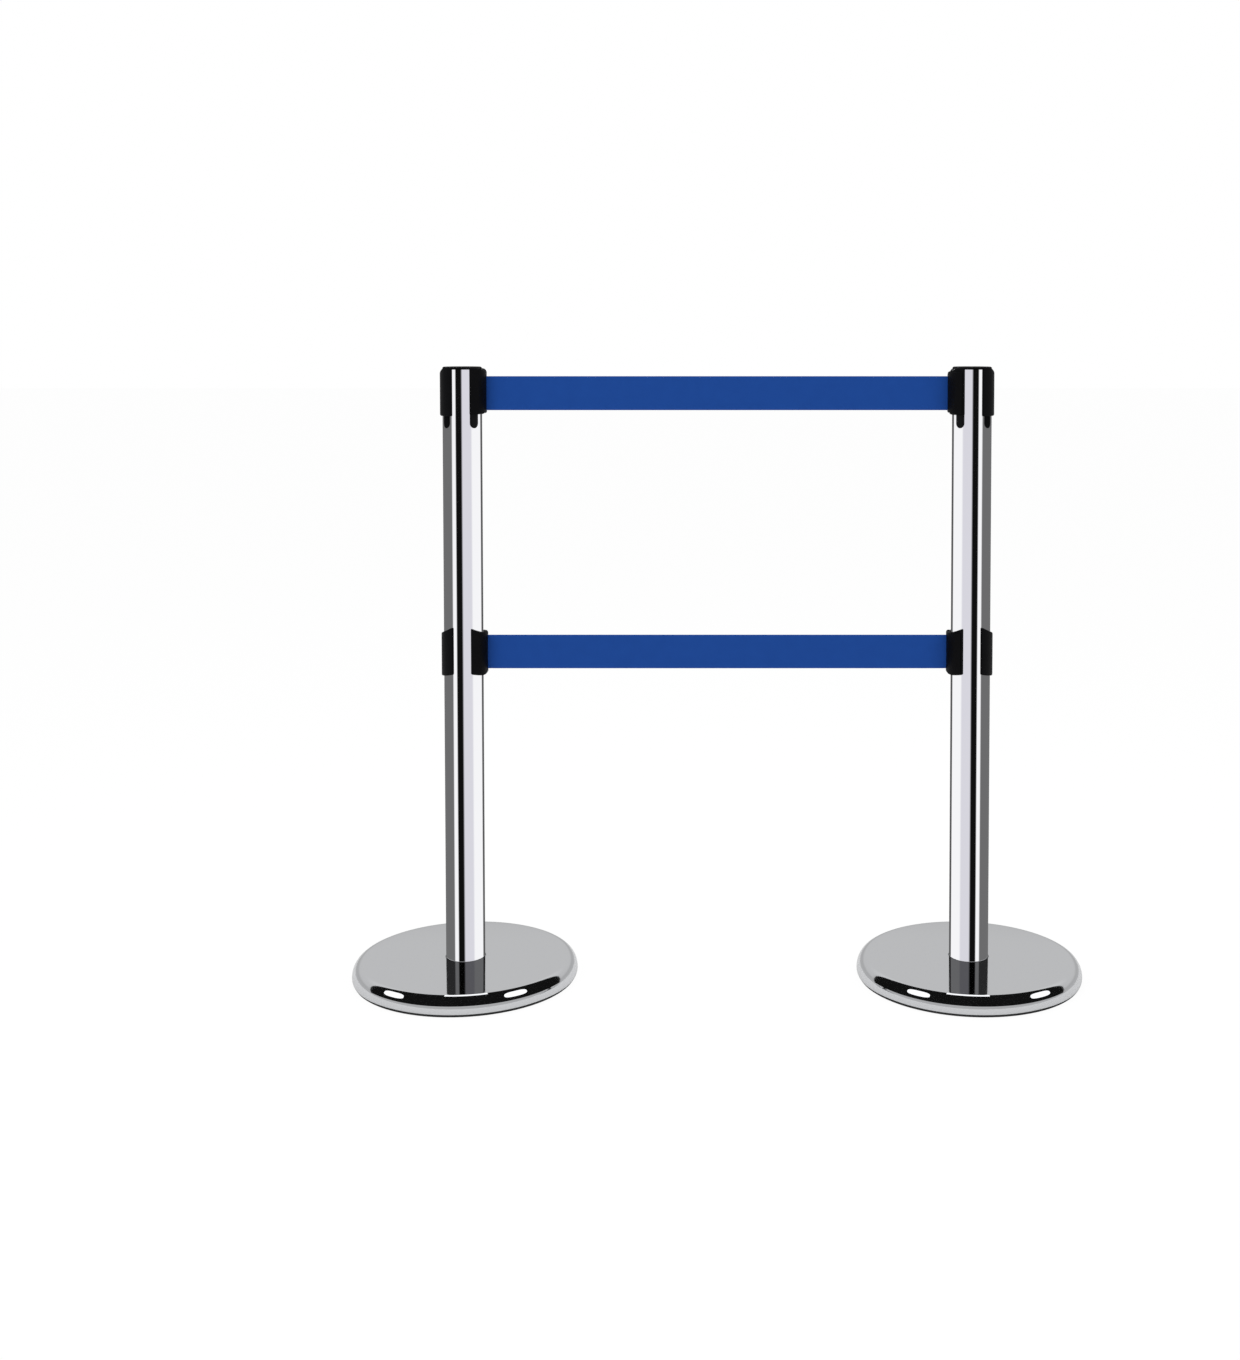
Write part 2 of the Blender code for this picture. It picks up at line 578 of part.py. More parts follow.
def make_reel(shop, level, height):
    """The spool with its wound belt, and what it turns on and is driven by."""
    bore = SPINDLE_RADIUS + GAP
    spool = at_height([
        (FLANGE_RADIUS, SPOOL_END), (FLANGE_RADIUS, FLANGE_FACE), (HUB_RADIUS, FLANGE_FACE),
        (HUB_RADIUS, -FLANGE_FACE), (FLANGE_RADIUS, -FLANGE_FACE), (FLANGE_RADIUS, -SPOOL_END),
        (ARBOR_RADIUS, -SPOOL_END), (ARBOR_RADIUS, SPRING_FOOT), (bore, SPRING_FOOT), (bore, SPOOL_END),
    ], height)
    turn(shop.piece(f"{level}_spool", profile_mesh("spool", spool, True), "grey_plastic"), INSIDE)

    coil = at_height([(COIL_RADIUS, HALF_BELT), (COIL_RADIUS, -HALF_BELT),
                      (HUB_RADIUS + GAP, -HALF_BELT), (HUB_RADIUS + GAP, HALF_BELT)], height)
    turn(shop.piece(f"{level}_belt_coil", profile_mesh("coil", coil, True), "blue_webbing"), INSIDE)

    head_top = HOUSING_FOOT - GAP
    screw_bore = LID_SCREW_RADIUS + GAP if level == "top" else None
    spindle_top = HOUSING_TOP
    spindle = [(SPINDLE_RADIUS, spindle_top), (SPINDLE_RADIUS, head_top), (SPINDLE_HEAD_RADIUS, head_top),
               (SPINDLE_HEAD_RADIUS, head_top - SPINDLE_HEAD), (0, head_top - SPINDLE_HEAD)]
    if screw_bore:
        bore_foot = spindle_top - LID_SCREW_GRIP - SLACK
        spindle += [(0, bore_foot), (screw_bore, bore_foot), (screw_bore, spindle_top)]
    else:
        spindle.insert(0, (0, spindle_top))
    turn(shop.piece(f"{level}_spindle", profile_mesh("spindle", at_height(spindle, height), bool(screw_bore)),
                    "zinc_steel"), SMALL)

    plate = at_height([(CHAMBER_RADIUS - GAP, -CEILING), (CHAMBER_RADIUS - GAP, PARTITION_FOOT),
                       (ARBOR_RADIUS + GAP, PARTITION_FOOT), (ARBOR_RADIUS + GAP, -CEILING)], height)
    turn(shop.piece(f"{level}_spring_cover", profile_mesh("plate", plate, True), "zinc_steel"), INSIDE)

    pin = prism("guide_pin", [circle(PIN_RADIUS, TINY, guide_pin_centre())],
                height - CEILING + GAP, height + CEILING + PIN_SEAT - GAP)
    shop.piece(f"{level}_guide_pin", pin, "zinc_steel")
    make_power_spring(shop, level, height)


def make_power_spring(shop, level, height):
    """A flat steel strip wound in a spiral, from the spool's arbor out to the housing's wall."""
    inner = ARBOR_RADIUS + GAP + SPRING_STRIP / 2
    outer = SPRING_CHAMBER_RADIUS - SPRING_WALL_PLAY - SPRING_STRIP / 2
    count = SPRING_TURNS * SPRING_STEPS
    spine = []
    for step in range(count + 1):
        share = step / count
        spine.append(polar(inner + (outer - inner) * share ** SPRING_BIAS, 360 * SPRING_TURNS * share))
    shop.piece(f"{level}_power_spring",
               strip("power_spring", spine, SPRING_STRIP, height + SPRING_FOOT, height + SPRING_TOP),
               "spring_steel")


def strip(name, spine, thickness, bottom, top):
    """A thin upright band that follows a path seen from above, as one closed body."""
    sides = ([], [])
    for index, point in enumerate(spine):
        before = Vector(spine[max(index - 1, 0)])
        after = Vector(spine[min(index + 1, len(spine) - 1)])
        along = (after - before).normalized()
        across = Vector((-along.y, along.x)) * thickness / 2
        sides[0].append(tuple(Vector(point) + across))
        sides[1].append(tuple(Vector(point) - across))
    return prism(name, [sides[0] + sides[1][::-1]], bottom, top)


def bezel_front_view(level, height, reach):
    """A bezel seen from the front, from the post's middle out to its rounded outer corners."""
    if level == "top":
        corners = [(0, -TOP_BEZEL_BELOW), (reach, -TOP_BEZEL_BELOW),
                   (reach, TOP_BEZEL_ABOVE - TOP_BEZEL_SLOPE), (0, TOP_BEZEL_ABOVE)]
        radii = (0, BEZEL_CORNER, TOP_BEZEL_CORNER, 0)
    else:
        corners = [(0, -MID_BEZEL_BELOW), (reach, -MID_BEZEL_BELOW + MID_BEZEL_RISE),
                   (reach, MID_BEZEL_ABOVE - MID_BEZEL_SLOPE), (0, MID_BEZEL_ABOVE)]
        radii = (0, BEZEL_CORNER, BEZEL_CORNER, 0)
    return [(x, height + z) for x, z in rounded(corners, radii)]


def outward(facing, outlines, bottom, top):
    """A prism whose outline is drawn facing +X, turned to face the belt side or the outer side."""
    return prism("outline", outlines, bottom, top, Matrix.Rotation(math.radians(facing), 4, "Z"))


def trim_to(shop, piece, name, outline, facing):
    """Keeps only what lies inside a front view."""
    turned_view = Matrix.Rotation(math.radians(facing), 4, "Z") @ front_view()
    block = prism("front_view", [outline], -BEZEL_OUTER - TUBE_RADIUS, BEZEL_OUTER + TUBE_RADIUS, turned_view)
    combine(piece, shop.cutter(f"{name}_front_view", block), "INTERSECT")


def swell(inner, full, thin):
    """An outer radius that rises from a thin edge to the full thickness of a nozzle or clip."""
    def radius(angle):
        share = (CLIP_NOSE_HALF_ANGLE - abs(angle)) / (CLIP_NOSE_HALF_ANGLE - SWELL_HALF_ANGLE)
        share = min(max(share, 0), 1)
        return inner + thin + (full - thin) * share * share * (3 - 2 * share)
    return radius


def add_pegs(shop, piece, name, height, facing):
    pegs = peg_cylinders(0, height, facing, CORE_RADIUS - PEG_BITE)
    combine(piece, shop.cutter(f"{name}_pegs", pegs), "UNION")


def make_outlet_bezel(shop, level, height):
    """The belt side's bezel: the belt runs out through the slit in its swollen middle."""
    name = f"{level}_outlet_bezel"
    outer = swell(BEZEL_OUTER, GAP + NOSE_THICKNESS, 0)
    outline = (arc(outer, -BEZEL_HALF_ANGLE, BEZEL_HALF_ANGLE)
               + arc(BEZEL_INNER, BEZEL_HALF_ANGLE, -BEZEL_HALF_ANGLE))
    bezel = shop.piece(name, outward(0, [outline], height - MID_BEZEL_BELOW, height + MID_BEZEL_ABOVE),
                       "black_plastic")
    trim_to(shop, bezel, name, bezel_front_view(level, height, NOSE_OUTER), 0)
    mouth = mouth_block(height, MOUTH_WIDTH, TUBE_BORE, NOSE_OUTER + SLACK)
    combine(bezel, shop.cutter(f"{name}_mouth", mouth))
    add_pegs(shop, bezel, name, height, 0)


def make_receiver_bezel(shop, level, height, side, facing):
    """A bezel with an upright T-slot, open at the top, for a clip to slide down into."""
    name = f"{level}_{side}_bezel"
    bezel = shop.piece(
        name,
        outward(facing, [sector(BEZEL_INNER, BEZEL_OUTER, BEZEL_HALF_ANGLE)],
                height - MID_BEZEL_BELOW, height + MID_BEZEL_ABOVE),
        "black_plastic")
    trim_to(shop, bezel, name, bezel_front_view(level, height, BEZEL_OUTER), facing)
    floor, over = height - SLOT_FLOOR_DROP, height + MID_BEZEL_ABOVE + SLACK
    pocket = outward(facing, [sector(TUBE_BORE, BEZEL_INNER + SLOT_DEPTH, SLOT_HALF_ANGLE)], floor, over)
    neck = outward(facing, [sector(TUBE_BORE, BEZEL_OUTER + SLACK, NECK_HALF_ANGLE)], floor, over)
    combine(bezel, shop.cutter(f"{name}_pocket", pocket))
    combine(bezel, shop.cutter(f"{name}_neck", neck))
    add_pegs(shop, bezel, name, height, facing)


def make_receiver_core(shop, level, height):
    """The right post's moulded plug inside the tube, hollow from below with crossed webs."""
    foot = height - (RIB_REACH if level == "top" else CORE_DEPTH)
    top = height + HOUSING_TOP
    inner = CORE_RADIUS - CORE_WALL
    bore = LID_SCREW_RADIUS + GAP
    bore_foot = top - LID_SCREW_GRIP - SLACK
    boss_foot = bore_foot - CORE_WALL
    boss = bore + CORE_WALL
    profile = [(bore, top), (CORE_RADIUS, top), (CORE_RADIUS, foot), (inner, foot), (inner, top - CORE_WALL),
               (boss, top - CORE_WALL), (boss, boss_foot), (0, boss_foot), (0, bore_foot), (bore, bore_foot)]
    core = shop.piece(f"{level}_receiver_core", profile_mesh("core", profile, True), "black_plastic")
    turn(core, INSIDE)
    if level == "top":
        combine(core, rib_ring(shop, level, height), "UNION")
    reach = CORE_RADIUS - CORE_WALL / 2
    for index, outline in enumerate((rectangle(-reach, reach, -CORE_WEB / 2, CORE_WEB / 2),
                                     rectangle(-CORE_WEB / 2, CORE_WEB / 2, -reach, reach))):
        web = prism("web", [outline], foot + CORE_WALL, boss_foot + CORE_WEB)
        combine(core, shop.cutter(f"{level}_web_{index}", web), "UNION")
    for facing in (0, 180):
        holes = peg_cylinders(GAP, height, facing, inner - SLACK)
        combine(core, shop.cutter(f"{level}_core_holes_{facing}", holes))


def make_clip(shop, level, height):
    """The belt's end: a T-bar that rides in a receiver, and a nose outside that grips the belt."""
    name = f"{level}_clip_body"
    foot = height - SLOT_FLOOR_DROP + GAP
    top = height + CLIP_ABOVE
    outer = swell(NOSE_INNER, NOSE_THICKNESS, CLIP_EDGE)
    nose = (arc(outer, -CLIP_NOSE_HALF_ANGLE, CLIP_NOSE_HALF_ANGLE)
            + arc(NOSE_INNER, CLIP_NOSE_HALF_ANGLE, -CLIP_NOSE_HALF_ANGLE))
    body = shop.piece(name, prism("nose", [nose], height - CLIP_ABOVE, top), "black_plastic")
    corners = [(0, -CLIP_ABOVE), (NOSE_OUTER, -CLIP_ABOVE), (NOSE_OUTER, CLIP_ABOVE), (0, CLIP_ABOVE)]
    outline = rounded([(x, height + z) for x, z in corners], (0, CLIP_CORNER, CLIP_CORNER, 0))
    trim_to(shop, body, name, outline, 0)
    bar_outer = BEZEL_INNER + SLOT_DEPTH - GAP
    bar = prism("bar", [sector(BEZEL_INNER, bar_outer, SLOT_HALF_ANGLE - CLIP_PLAY_ANGLE)], foot, top)
    neck = prism("neck", [sector(bar_outer - GAP, NOSE_INNER + GAP, NECK_HALF_ANGLE - CLIP_PLAY_ANGLE)],
                 foot, top)
    combine(body, shop.cutter(f"{name}_neck", neck), "UNION")
    combine(body, shop.cutter(f"{name}_bar", bar), "UNION")
    centre = (CLIP_PIN_REACH, 0)
    cavity_foot = height - HALF_BELT - CLIP_CAVITY_FLOOR
    cavity = prism("cavity", [circle(CLIP_CAVITY_RADIUS, SMALL, centre)], cavity_foot, top + SLACK)
    slit = prism("slit", [rectangle(CLIP_PIN_REACH, NOSE_OUTER + SLACK, -CLIP_SLIT / 2, CLIP_SLIT / 2)],
                 cavity_foot, height + HALF_BELT + CLIP_CAVITY_FLOOR)
    combine(body, shop.cutter(f"{name}_cavity", cavity))
    combine(body, shop.cutter(f"{name}_slit", slit))

    pin_foot, pin_top = cavity_foot + GAP, height + HALF_BELT
    pin = prism("belt_pin", [circle(CLIP_PIN_RADIUS, TINY, centre)], pin_foot, pin_top)
    shop.piece(f"{level}_belt_pin", pin, "zinc_steel")

    plate = prism("plate", [sector(BEZEL_INNER + GAP, NOSE_OUTER - CLIP_CAP_INSET, CLIP_CAP_HALF_ANGLE)],
                  top + GAP, top + GAP + CLIP_CAP_PLATE)
    cap = shop.piece(f"{level}_clip_cap", plate, "black_plastic")
    plug = prism("plug", [circle(CLIP_CAVITY_RADIUS - GAP, SMALL, centre)],
                 pin_top + GAP, top + GAP + CLIP_CAP_PLATE / 2)
    combine(cap, shop.cutter(f"{level}_clip_cap_plug", plug), "UNION")


def belt_path():
    """The belt seen from above: off the coil, round the guide pin, and straight out to the clip."""
    coil = COIL_RADIUS + GAP + BELT_THICKNESS / 2
    centre = Vector(guide_pin_centre())
    wrap = PIN_RADIUS + GAP + BELT_THICKNESS / 2
    lean = math.degrees(math.asin((coil + wrap) / centre.length))
    normal = 90 + math.degrees(math.atan2(centre.y, centre.x)) - lean
    path = arc(coil, normal + BELT_WRAP, normal)
    for step in range(PIN_STEPS + 1):
        angle = normal + 180 + (90 - normal) * step / PIN_STEPS
        x, y = polar(wrap, angle)
        path.append((centre.x + x, centre.y + y))
    path.append((POST_SPACING - CLIP_PIN_FACE, 0))
    return path


def make_belt(shop, level, height):
    band = strip("belt", belt_path(), BELT_THICKNESS, height - HALF_BELT, height + HALF_BELT)
    shop.piece(f"{level}_belt", band, "blue_webbing")


def make_post(shop, has_reels):
    make_base(shop)
    make_foot(shop)
    make_tube(shop, has_reels)
    make_lid(shop)
    for level, height in HEADS.items():
        if has_reels:
            make_housing(shop, level, height)
            make_reel(shop, level, height)
            make_outlet_bezel(shop, level, height)
        else:
            make_receiver_core(shop, level, height)
            make_receiver_bezel(shop, level, height, "inner", 0)
        make_receiver_bezel(shop, level, height, "outer", 180)


def main():
    clear_scene()
    Workshop.parts = new_collection("retractable_belt_stanchion")
    Workshop.cutters = new_collection("cutters")
    left = Workshop("left_", -POST_SPACING / 2)
    right = Workshop("right_", POST_SPACING / 2, math.pi)
    belts = Workshop("", -POST_SPACING / 2)
    clips = Workshop("", POST_SPACING / 2, math.pi)
    make_post(left, has_reels=True)
    make_post(right, has_reels=False)
    for level, height in HEADS.items():
        make_belt(belts, level, height)
        make_clip(clips, level, height)


main()
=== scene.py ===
"""Looks of the retractable belt stanchion: finishes, fine meshes, lights and camera.

Lengths are in metres and angles in degrees, unless a name says otherwise.
"""

import json
import math

import bmesh
import bpy
from mathutils import Matrix, Vector

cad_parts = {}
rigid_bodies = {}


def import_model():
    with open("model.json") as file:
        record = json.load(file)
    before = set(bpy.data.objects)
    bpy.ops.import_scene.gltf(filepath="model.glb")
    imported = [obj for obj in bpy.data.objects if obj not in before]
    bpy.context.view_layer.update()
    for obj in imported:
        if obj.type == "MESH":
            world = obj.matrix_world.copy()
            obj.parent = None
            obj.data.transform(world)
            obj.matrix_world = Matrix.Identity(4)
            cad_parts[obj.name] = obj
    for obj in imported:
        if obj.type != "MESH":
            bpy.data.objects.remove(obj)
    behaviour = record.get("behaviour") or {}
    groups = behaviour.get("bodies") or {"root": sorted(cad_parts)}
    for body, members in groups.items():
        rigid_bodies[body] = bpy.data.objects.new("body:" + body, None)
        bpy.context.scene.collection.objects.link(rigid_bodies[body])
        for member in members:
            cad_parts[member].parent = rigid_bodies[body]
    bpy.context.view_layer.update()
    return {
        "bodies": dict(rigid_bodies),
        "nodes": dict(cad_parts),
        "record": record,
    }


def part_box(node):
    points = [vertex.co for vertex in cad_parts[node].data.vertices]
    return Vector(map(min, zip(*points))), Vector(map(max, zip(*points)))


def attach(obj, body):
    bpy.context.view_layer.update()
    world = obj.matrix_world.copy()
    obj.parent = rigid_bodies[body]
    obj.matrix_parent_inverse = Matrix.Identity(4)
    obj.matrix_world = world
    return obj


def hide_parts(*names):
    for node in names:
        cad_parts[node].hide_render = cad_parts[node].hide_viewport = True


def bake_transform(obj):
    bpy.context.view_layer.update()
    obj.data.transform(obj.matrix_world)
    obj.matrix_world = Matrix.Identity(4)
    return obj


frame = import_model()

SIDES = {"left": -1, "right": 1}
LEVELS = ("top", "mid")
TUBE_SEGMENTS = 192
BASE_SEGMENTS = 288
TINY = 1e-7


def middle(name):
    """The middle of a CAD node's box."""
    low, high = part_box(name)
    return (low + high) / 2


POST_X = {side: middle(f"{side}_post_tube").x for side in SIDES}
TUBE_LOW, TUBE_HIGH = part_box("left_post_tube")
TUBE_RADIUS = (TUBE_HIGH.x - TUBE_LOW.x) / 2


# ---------------------------------------------------------------- materials

WEAVE_DARK, WEAVE_LIGHT = (0.0064, 0.041, 0.202), (0.0100, 0.057, 0.258)
WEAVE_SHARE = 0.6  # of the webbing's change of shade; large soft patches make the rest


def node(tree, kind, **values):
    """A shader node with its settings and the values of its inputs."""
    made = tree.nodes.new(kind)
    for key, value in values.items():
        if key in made.inputs:
            made.inputs[key].default_value = value
        else:
            setattr(made, key, value)
    return made


def principled(name, colour, roughness, metallic=0.0):
    """A new material, its node tree and its Principled shader."""
    material = bpy.data.materials.new(name)
    material.use_nodes = True
    shader = material.node_tree.nodes["Principled BSDF"]
    shader.inputs["Base Color"].default_value = (*colour, 1)
    shader.inputs["Roughness"].default_value = roughness
    shader.inputs["Metallic"].default_value = metallic
    return material, material.node_tree, shader


def feed(tree, socket, value):
    """Puts a number in a socket, or links another node's output to it."""
    if hasattr(value, "links"):
        tree.links.new(value, socket)
    else:
        socket.default_value = value


def math_node(tree, operation, *values):
    """A sum of up to three values, each a number or another node's output."""
    made = node(tree, "ShaderNodeMath", operation=operation)
    for socket, value in zip(made.inputs, values):
        feed(tree, socket, value)
    return made.outputs[0]


def coordinates(tree, scale=(1, 1, 1)):
    """Object coordinates in metres, scaled."""
    place = node(tree, "ShaderNodeTexCoord")
    mapping = node(tree, "ShaderNodeMapping", Scale=scale)
    tree.links.new(place.outputs["Object"], mapping.inputs["Vector"])
    return mapping.outputs["Vector"]


def noise(tree, scale, detail=3.0, vector=None, roughness=0.5):
    """A noise value from 0 to 1, in object coordinates unless a vector is given."""
    made = node(tree, "ShaderNodeTexNoise", Scale=scale, Detail=detail, Roughness=roughness)
    tree.links.new(vector or coordinates(tree), made.inputs["Vector"])
    return made.outputs["Fac"]


def value_range(tree, source, low, high):
    """Maps 0..1 to a range of values."""
    made = node(tree, "ShaderNodeMapRange")
    made.inputs["To Min"].default_value = low
    made.inputs["To Max"].default_value = high
    tree.links.new(source, made.inputs["Value"])
    return made.outputs["Result"]


def colour_range(tree, source, low, high):
    """Maps 0..1 to the colours from low to high."""
    made = node(tree, "ShaderNodeMix")
    made.data_type = "RGBA"
    made.inputs["A"].default_value = (*low, 1)
    made.inputs["B"].default_value = (*high, 1)
    tree.links.new(source, made.inputs["Factor"])
    return made.outputs["Result"]


def scaled(colour, share):
    """A colour made darker or lighter."""
    return tuple(part * share for part in colour)


def bump(tree, shader, height, strength, distance):
    """Relief from a height value, on the shader's normal."""
    made = node(tree, "ShaderNodeBump", Strength=strength, Distance=distance)
    tree.links.new(height, made.inputs["Height"])
    tree.links.new(made.outputs["Normal"], shader.inputs["Normal"])


def chrome_material(name, colour, roughness, brush):
    """Polished steel: a mirror with faint polishing marks and a little haze."""
    material, tree, shader = principled(name, colour, roughness, 1.0)
    haze = value_range(tree, noise(tree, 26.0, 4.0), roughness * 0.7, roughness * 1.5)
    tree.links.new(haze, shader.inputs["Roughness"])
    marks = noise(tree, 1.0, 2.0, coordinates(tree, brush))
    bump(tree, shader, marks, 0.01, 0.00002)
    return material


def plastic_material(name, colour, roughness, specular=0.5):
    """Moulded plastic with a fine spark-eroded texture."""
    material, tree, shader = principled(name, colour, roughness)
    shader.inputs["Specular IOR Level"].default_value = specular
    gloss = value_range(tree, noise(tree, 60.0, 3.0), roughness * 0.85, roughness * 1.2)
    tree.links.new(gloss, shader.inputs["Roughness"])
    shade = colour_range(tree, noise(tree, 35.0, 4.0), scaled(colour, 0.75), scaled(colour, 1.3))
    tree.links.new(shade, shader.inputs["Base Color"])
    bump(tree, shader, noise(tree, 2600.0, 2.0), 0.12, 0.00006)
    return material


def metal_material(name, colour, roughness):
    """Zinc plate or blued strip: satin metal with mottled roughness."""
    material, tree, shader = principled(name, colour, roughness, 1.0)
    mottle = noise(tree, 220.0, 5.0)
    satin = value_range(tree, mottle, roughness * 0.6, roughness * 1.5)
    tree.links.new(satin, shader.inputs["Roughness"])
    shade = colour_range(tree, noise(tree, 90.0, 3.0), scaled(colour, 0.8), colour)
    tree.links.new(shade, shader.inputs["Base Color"])
    bump(tree, shader, mottle, 0.1, 0.00005)
    return material


def cast_material(name):
    """Raw cast iron: dull, mottled and gritty."""
    material, tree, shader = principled(name, (0.05, 0.05, 0.052), 0.6, 0.3)
    grit = noise(tree, 420.0, 6.0, roughness=0.7)
    shade = colour_range(tree, noise(tree, 25.0, 4.0), (0.035, 0.034, 0.034), (0.075, 0.072, 0.07))
    tree.links.new(shade, shader.inputs["Base Color"])
    bump(tree, shader, grit, 0.5, 0.0005)
    return material


def rubber_material(name):
    """Matt black rubber with a fine grain."""
    material, tree, shader = principled(name, (0.018, 0.018, 0.018), 0.8)
    shade = colour_range(tree, noise(tree, 70.0, 4.0), (0.012, 0.012, 0.012), (0.03, 0.03, 0.029))
    tree.links.new(shade, shader.inputs["Base Color"])
    bump(tree, shader, noise(tree, 900.0, 3.0), 0.3, 0.0001)
    return material


def webbing_material(name):
    """Close-woven polyester: a fine twill relief, two near shades of blue and a soft sheen."""
    material, tree, shader = principled(name, (0.011, 0.062, 0.285), 0.78)
    shader.inputs["Sheen Weight"].default_value = 0.03
    shader.inputs["Sheen Roughness"].default_value = 0.4
    shader.inputs["Specular IOR Level"].default_value = 0.1
    along = node(tree, "ShaderNodeTexWave", Scale=300.0, Distortion=0.6, Detail=1.0)
    along.bands_direction = "DIAGONAL"
    tree.links.new(coordinates(tree, (1, 0, 1)), along.inputs["Vector"])
    across = node(tree, "ShaderNodeTexWave", Scale=210.0, Distortion=0.4)
    across.bands_direction = "Z"
    tree.links.new(coordinates(tree), across.inputs["Vector"])
    weave = math_node(tree, "MULTIPLY", along.outputs["Fac"], across.outputs["Fac"])
    wear = value_range(tree, noise(tree, 40.0, 3.0), 0.0, 1 - WEAVE_SHARE)
    share = math_node(tree, "MULTIPLY_ADD", weave, WEAVE_SHARE, wear)
    shade = colour_range(tree, share, WEAVE_DARK, WEAVE_LIGHT)
    tree.links.new(shade, shader.inputs["Base Color"])
    bump(tree, shader, weave, 0.35, 0.0002)
    return material


CHROME = chrome_material("polished_post", (0.86, 0.86, 0.88), 0.035, (900, 900, 3))
BASE_CHROME = chrome_material("polished_base", (0.80, 0.81, 0.83), 0.05, (40, 40, 40))
BLACK = plastic_material("black_moulding", (0.0025, 0.0025, 0.003), 0.45, 0.05)
GREY = plastic_material("grey_moulding", (0.10, 0.105, 0.11), 0.45)
ZINC = metal_material("zinc_plate", (0.55, 0.56, 0.55), 0.32)
BLUED = metal_material("blued_strip", (0.16, 0.18, 0.24), 0.3)
IRON = cast_material("cast_iron")
RUBBER = rubber_material("floor_rubber")
WEBBING = webbing_material("belt_webbing")

SLOT_FINISH = {
    "chrome": CHROME,
    "cast_iron": IRON,
    "black_rubber": RUBBER,
    "zinc_steel": ZINC,
    "black_plastic": BLACK,
    "grey_plastic": GREY,
    "spring_steel": BLUED,
    "blue_webbing": WEBBING,
}


def finish_cad_nodes():
    """Gives every carried-over CAD node the finish of its slot."""
    slots = {row["node"]: row["material_slot"] for row in frame["record"]["subparts"]}
    for name, obj in frame["nodes"].items():
        for place in obj.material_slots:
            place.material = SLOT_FINISH[slots[name]]


# ---------------------------------------------------------------- meshes

BEND_STEP = 0.0012  # between the cuts that let a flat plate bend


def piece(name, work, material, angle=35):
    """An object from a bmesh, shaded smooth with its hard edges kept."""
    mesh = bpy.data.meshes.new(name)
    bmesh.ops.recalc_face_normals(work, faces=work.faces)
    work.to_mesh(mesh)
    work.free()
    mesh.materials.append(material)
    mesh.shade_smooth()
    mesh.set_sharp_from_angle(angle=math.radians(angle))
    made = bpy.data.objects.new(name, mesh)
    bpy.context.scene.collection.objects.link(made)
    return made


def rings_round(work, profile, segments, centre_x=0.0):
    """A profile of (radius, height) set out at each step round a vertical axis."""
    rings = []
    for index in range(segments):
        turn = math.tau * index / segments
        rings.append([work.verts.new((centre_x + r * math.cos(turn), r * math.sin(turn), z))
                      for r, z in profile])
    return rings


def lathe(name, profile, centre_x, segments, material, angle=35):
    """A closed profile of (radius, height) turned about a vertical axis."""
    work = bmesh.new()
    rings = rings_round(work, profile, segments, centre_x)
    for index in range(segments):
        here, after = rings[index], rings[(index + 1) % segments]
        for j in range(len(profile)):
            k = (j + 1) % len(profile)
            work.faces.new((here[j], after[j], after[k], here[k]))
    bmesh.ops.remove_doubles(work, verts=work.verts, dist=TINY)
    return piece(name, work, material, angle)


def arc(radius, start, end, steps, centre=(0, 0)):
    """Points along a circle from one angle to another."""
    points = []
    for index in range(steps + 1):
        turn = math.radians(start + (end - start) * index / steps)
        points.append((centre[0] + radius * math.cos(turn), centre[1] + radius * math.sin(turn)))
    return points


def fillet(corners, radii, steps=6):
    """A polygon with each corner rounded by an arc of its own radius."""
    outline = []
    for index, (corner, radius) in enumerate(zip(corners, radii)):
        here = Vector(corner)
        before = (Vector(corners[index - 1]) - here).normalized()
        after = (Vector(corners[(index + 1) % len(corners)]) - here).normalized()
        if radius <= 0:
            outline.append(tuple(here))
            continue
        half = before.angle(after) / 2
        centre = here + (before + after).normalized() * (radius / math.sin(half))
        first = here + before * (radius / math.tan(half)) - centre
        last = here + after * (radius / math.tan(half)) - centre
        for step in range(steps + 1):
            outline.append(tuple(centre + first.slerp(last, step / steps) * radius))
    return outline


def slab(outline, back, front, round_edge=0.0):
    """A flat plate: an outline in (s, z) from depth back to front, its outer edges rounded."""
    work = bmesh.new()
    face = work.faces.new([work.verts.new((s, back, z)) for s, z in outline])
    grown = bmesh.ops.extrude_face_region(work, geom=[face])
    moved = [v for v in grown["geom"] if isinstance(v, bmesh.types.BMVert)]
    bmesh.ops.translate(work, verts=moved, vec=(0, front - back, 0))
    bmesh.ops.recalc_face_normals(work, faces=work.faces)
    if round_edge:
        rim = [e for e in work.edges if all(abs(v.co.y - front) < TINY for v in e.verts)]
        bmesh.ops.bevel(work, geom=rim, offset=round_edge, segments=4, profile=0.5,
                        affect="EDGES", clamp_overlap=True)
    mesh = bpy.data.meshes.new("slab")
    work.to_mesh(mesh)
    work.free()
    made = bpy.data.objects.new("slab", mesh)
    bpy.context.scene.collection.objects.link(made)
    return made


def carve(target, tool, operation="DIFFERENCE"):
    """Applies a Boolean and removes its tool."""
    modifier = target.modifiers.new("carve", "BOOLEAN")
    modifier.operation = operation
    modifier.object = tool
    graph = bpy.context.evaluated_depsgraph_get()
    mesh = bpy.data.meshes.new_from_object(target.evaluated_get(graph))
    target.modifiers.clear()
    target.data = mesh
    bpy.data.objects.remove(tool)


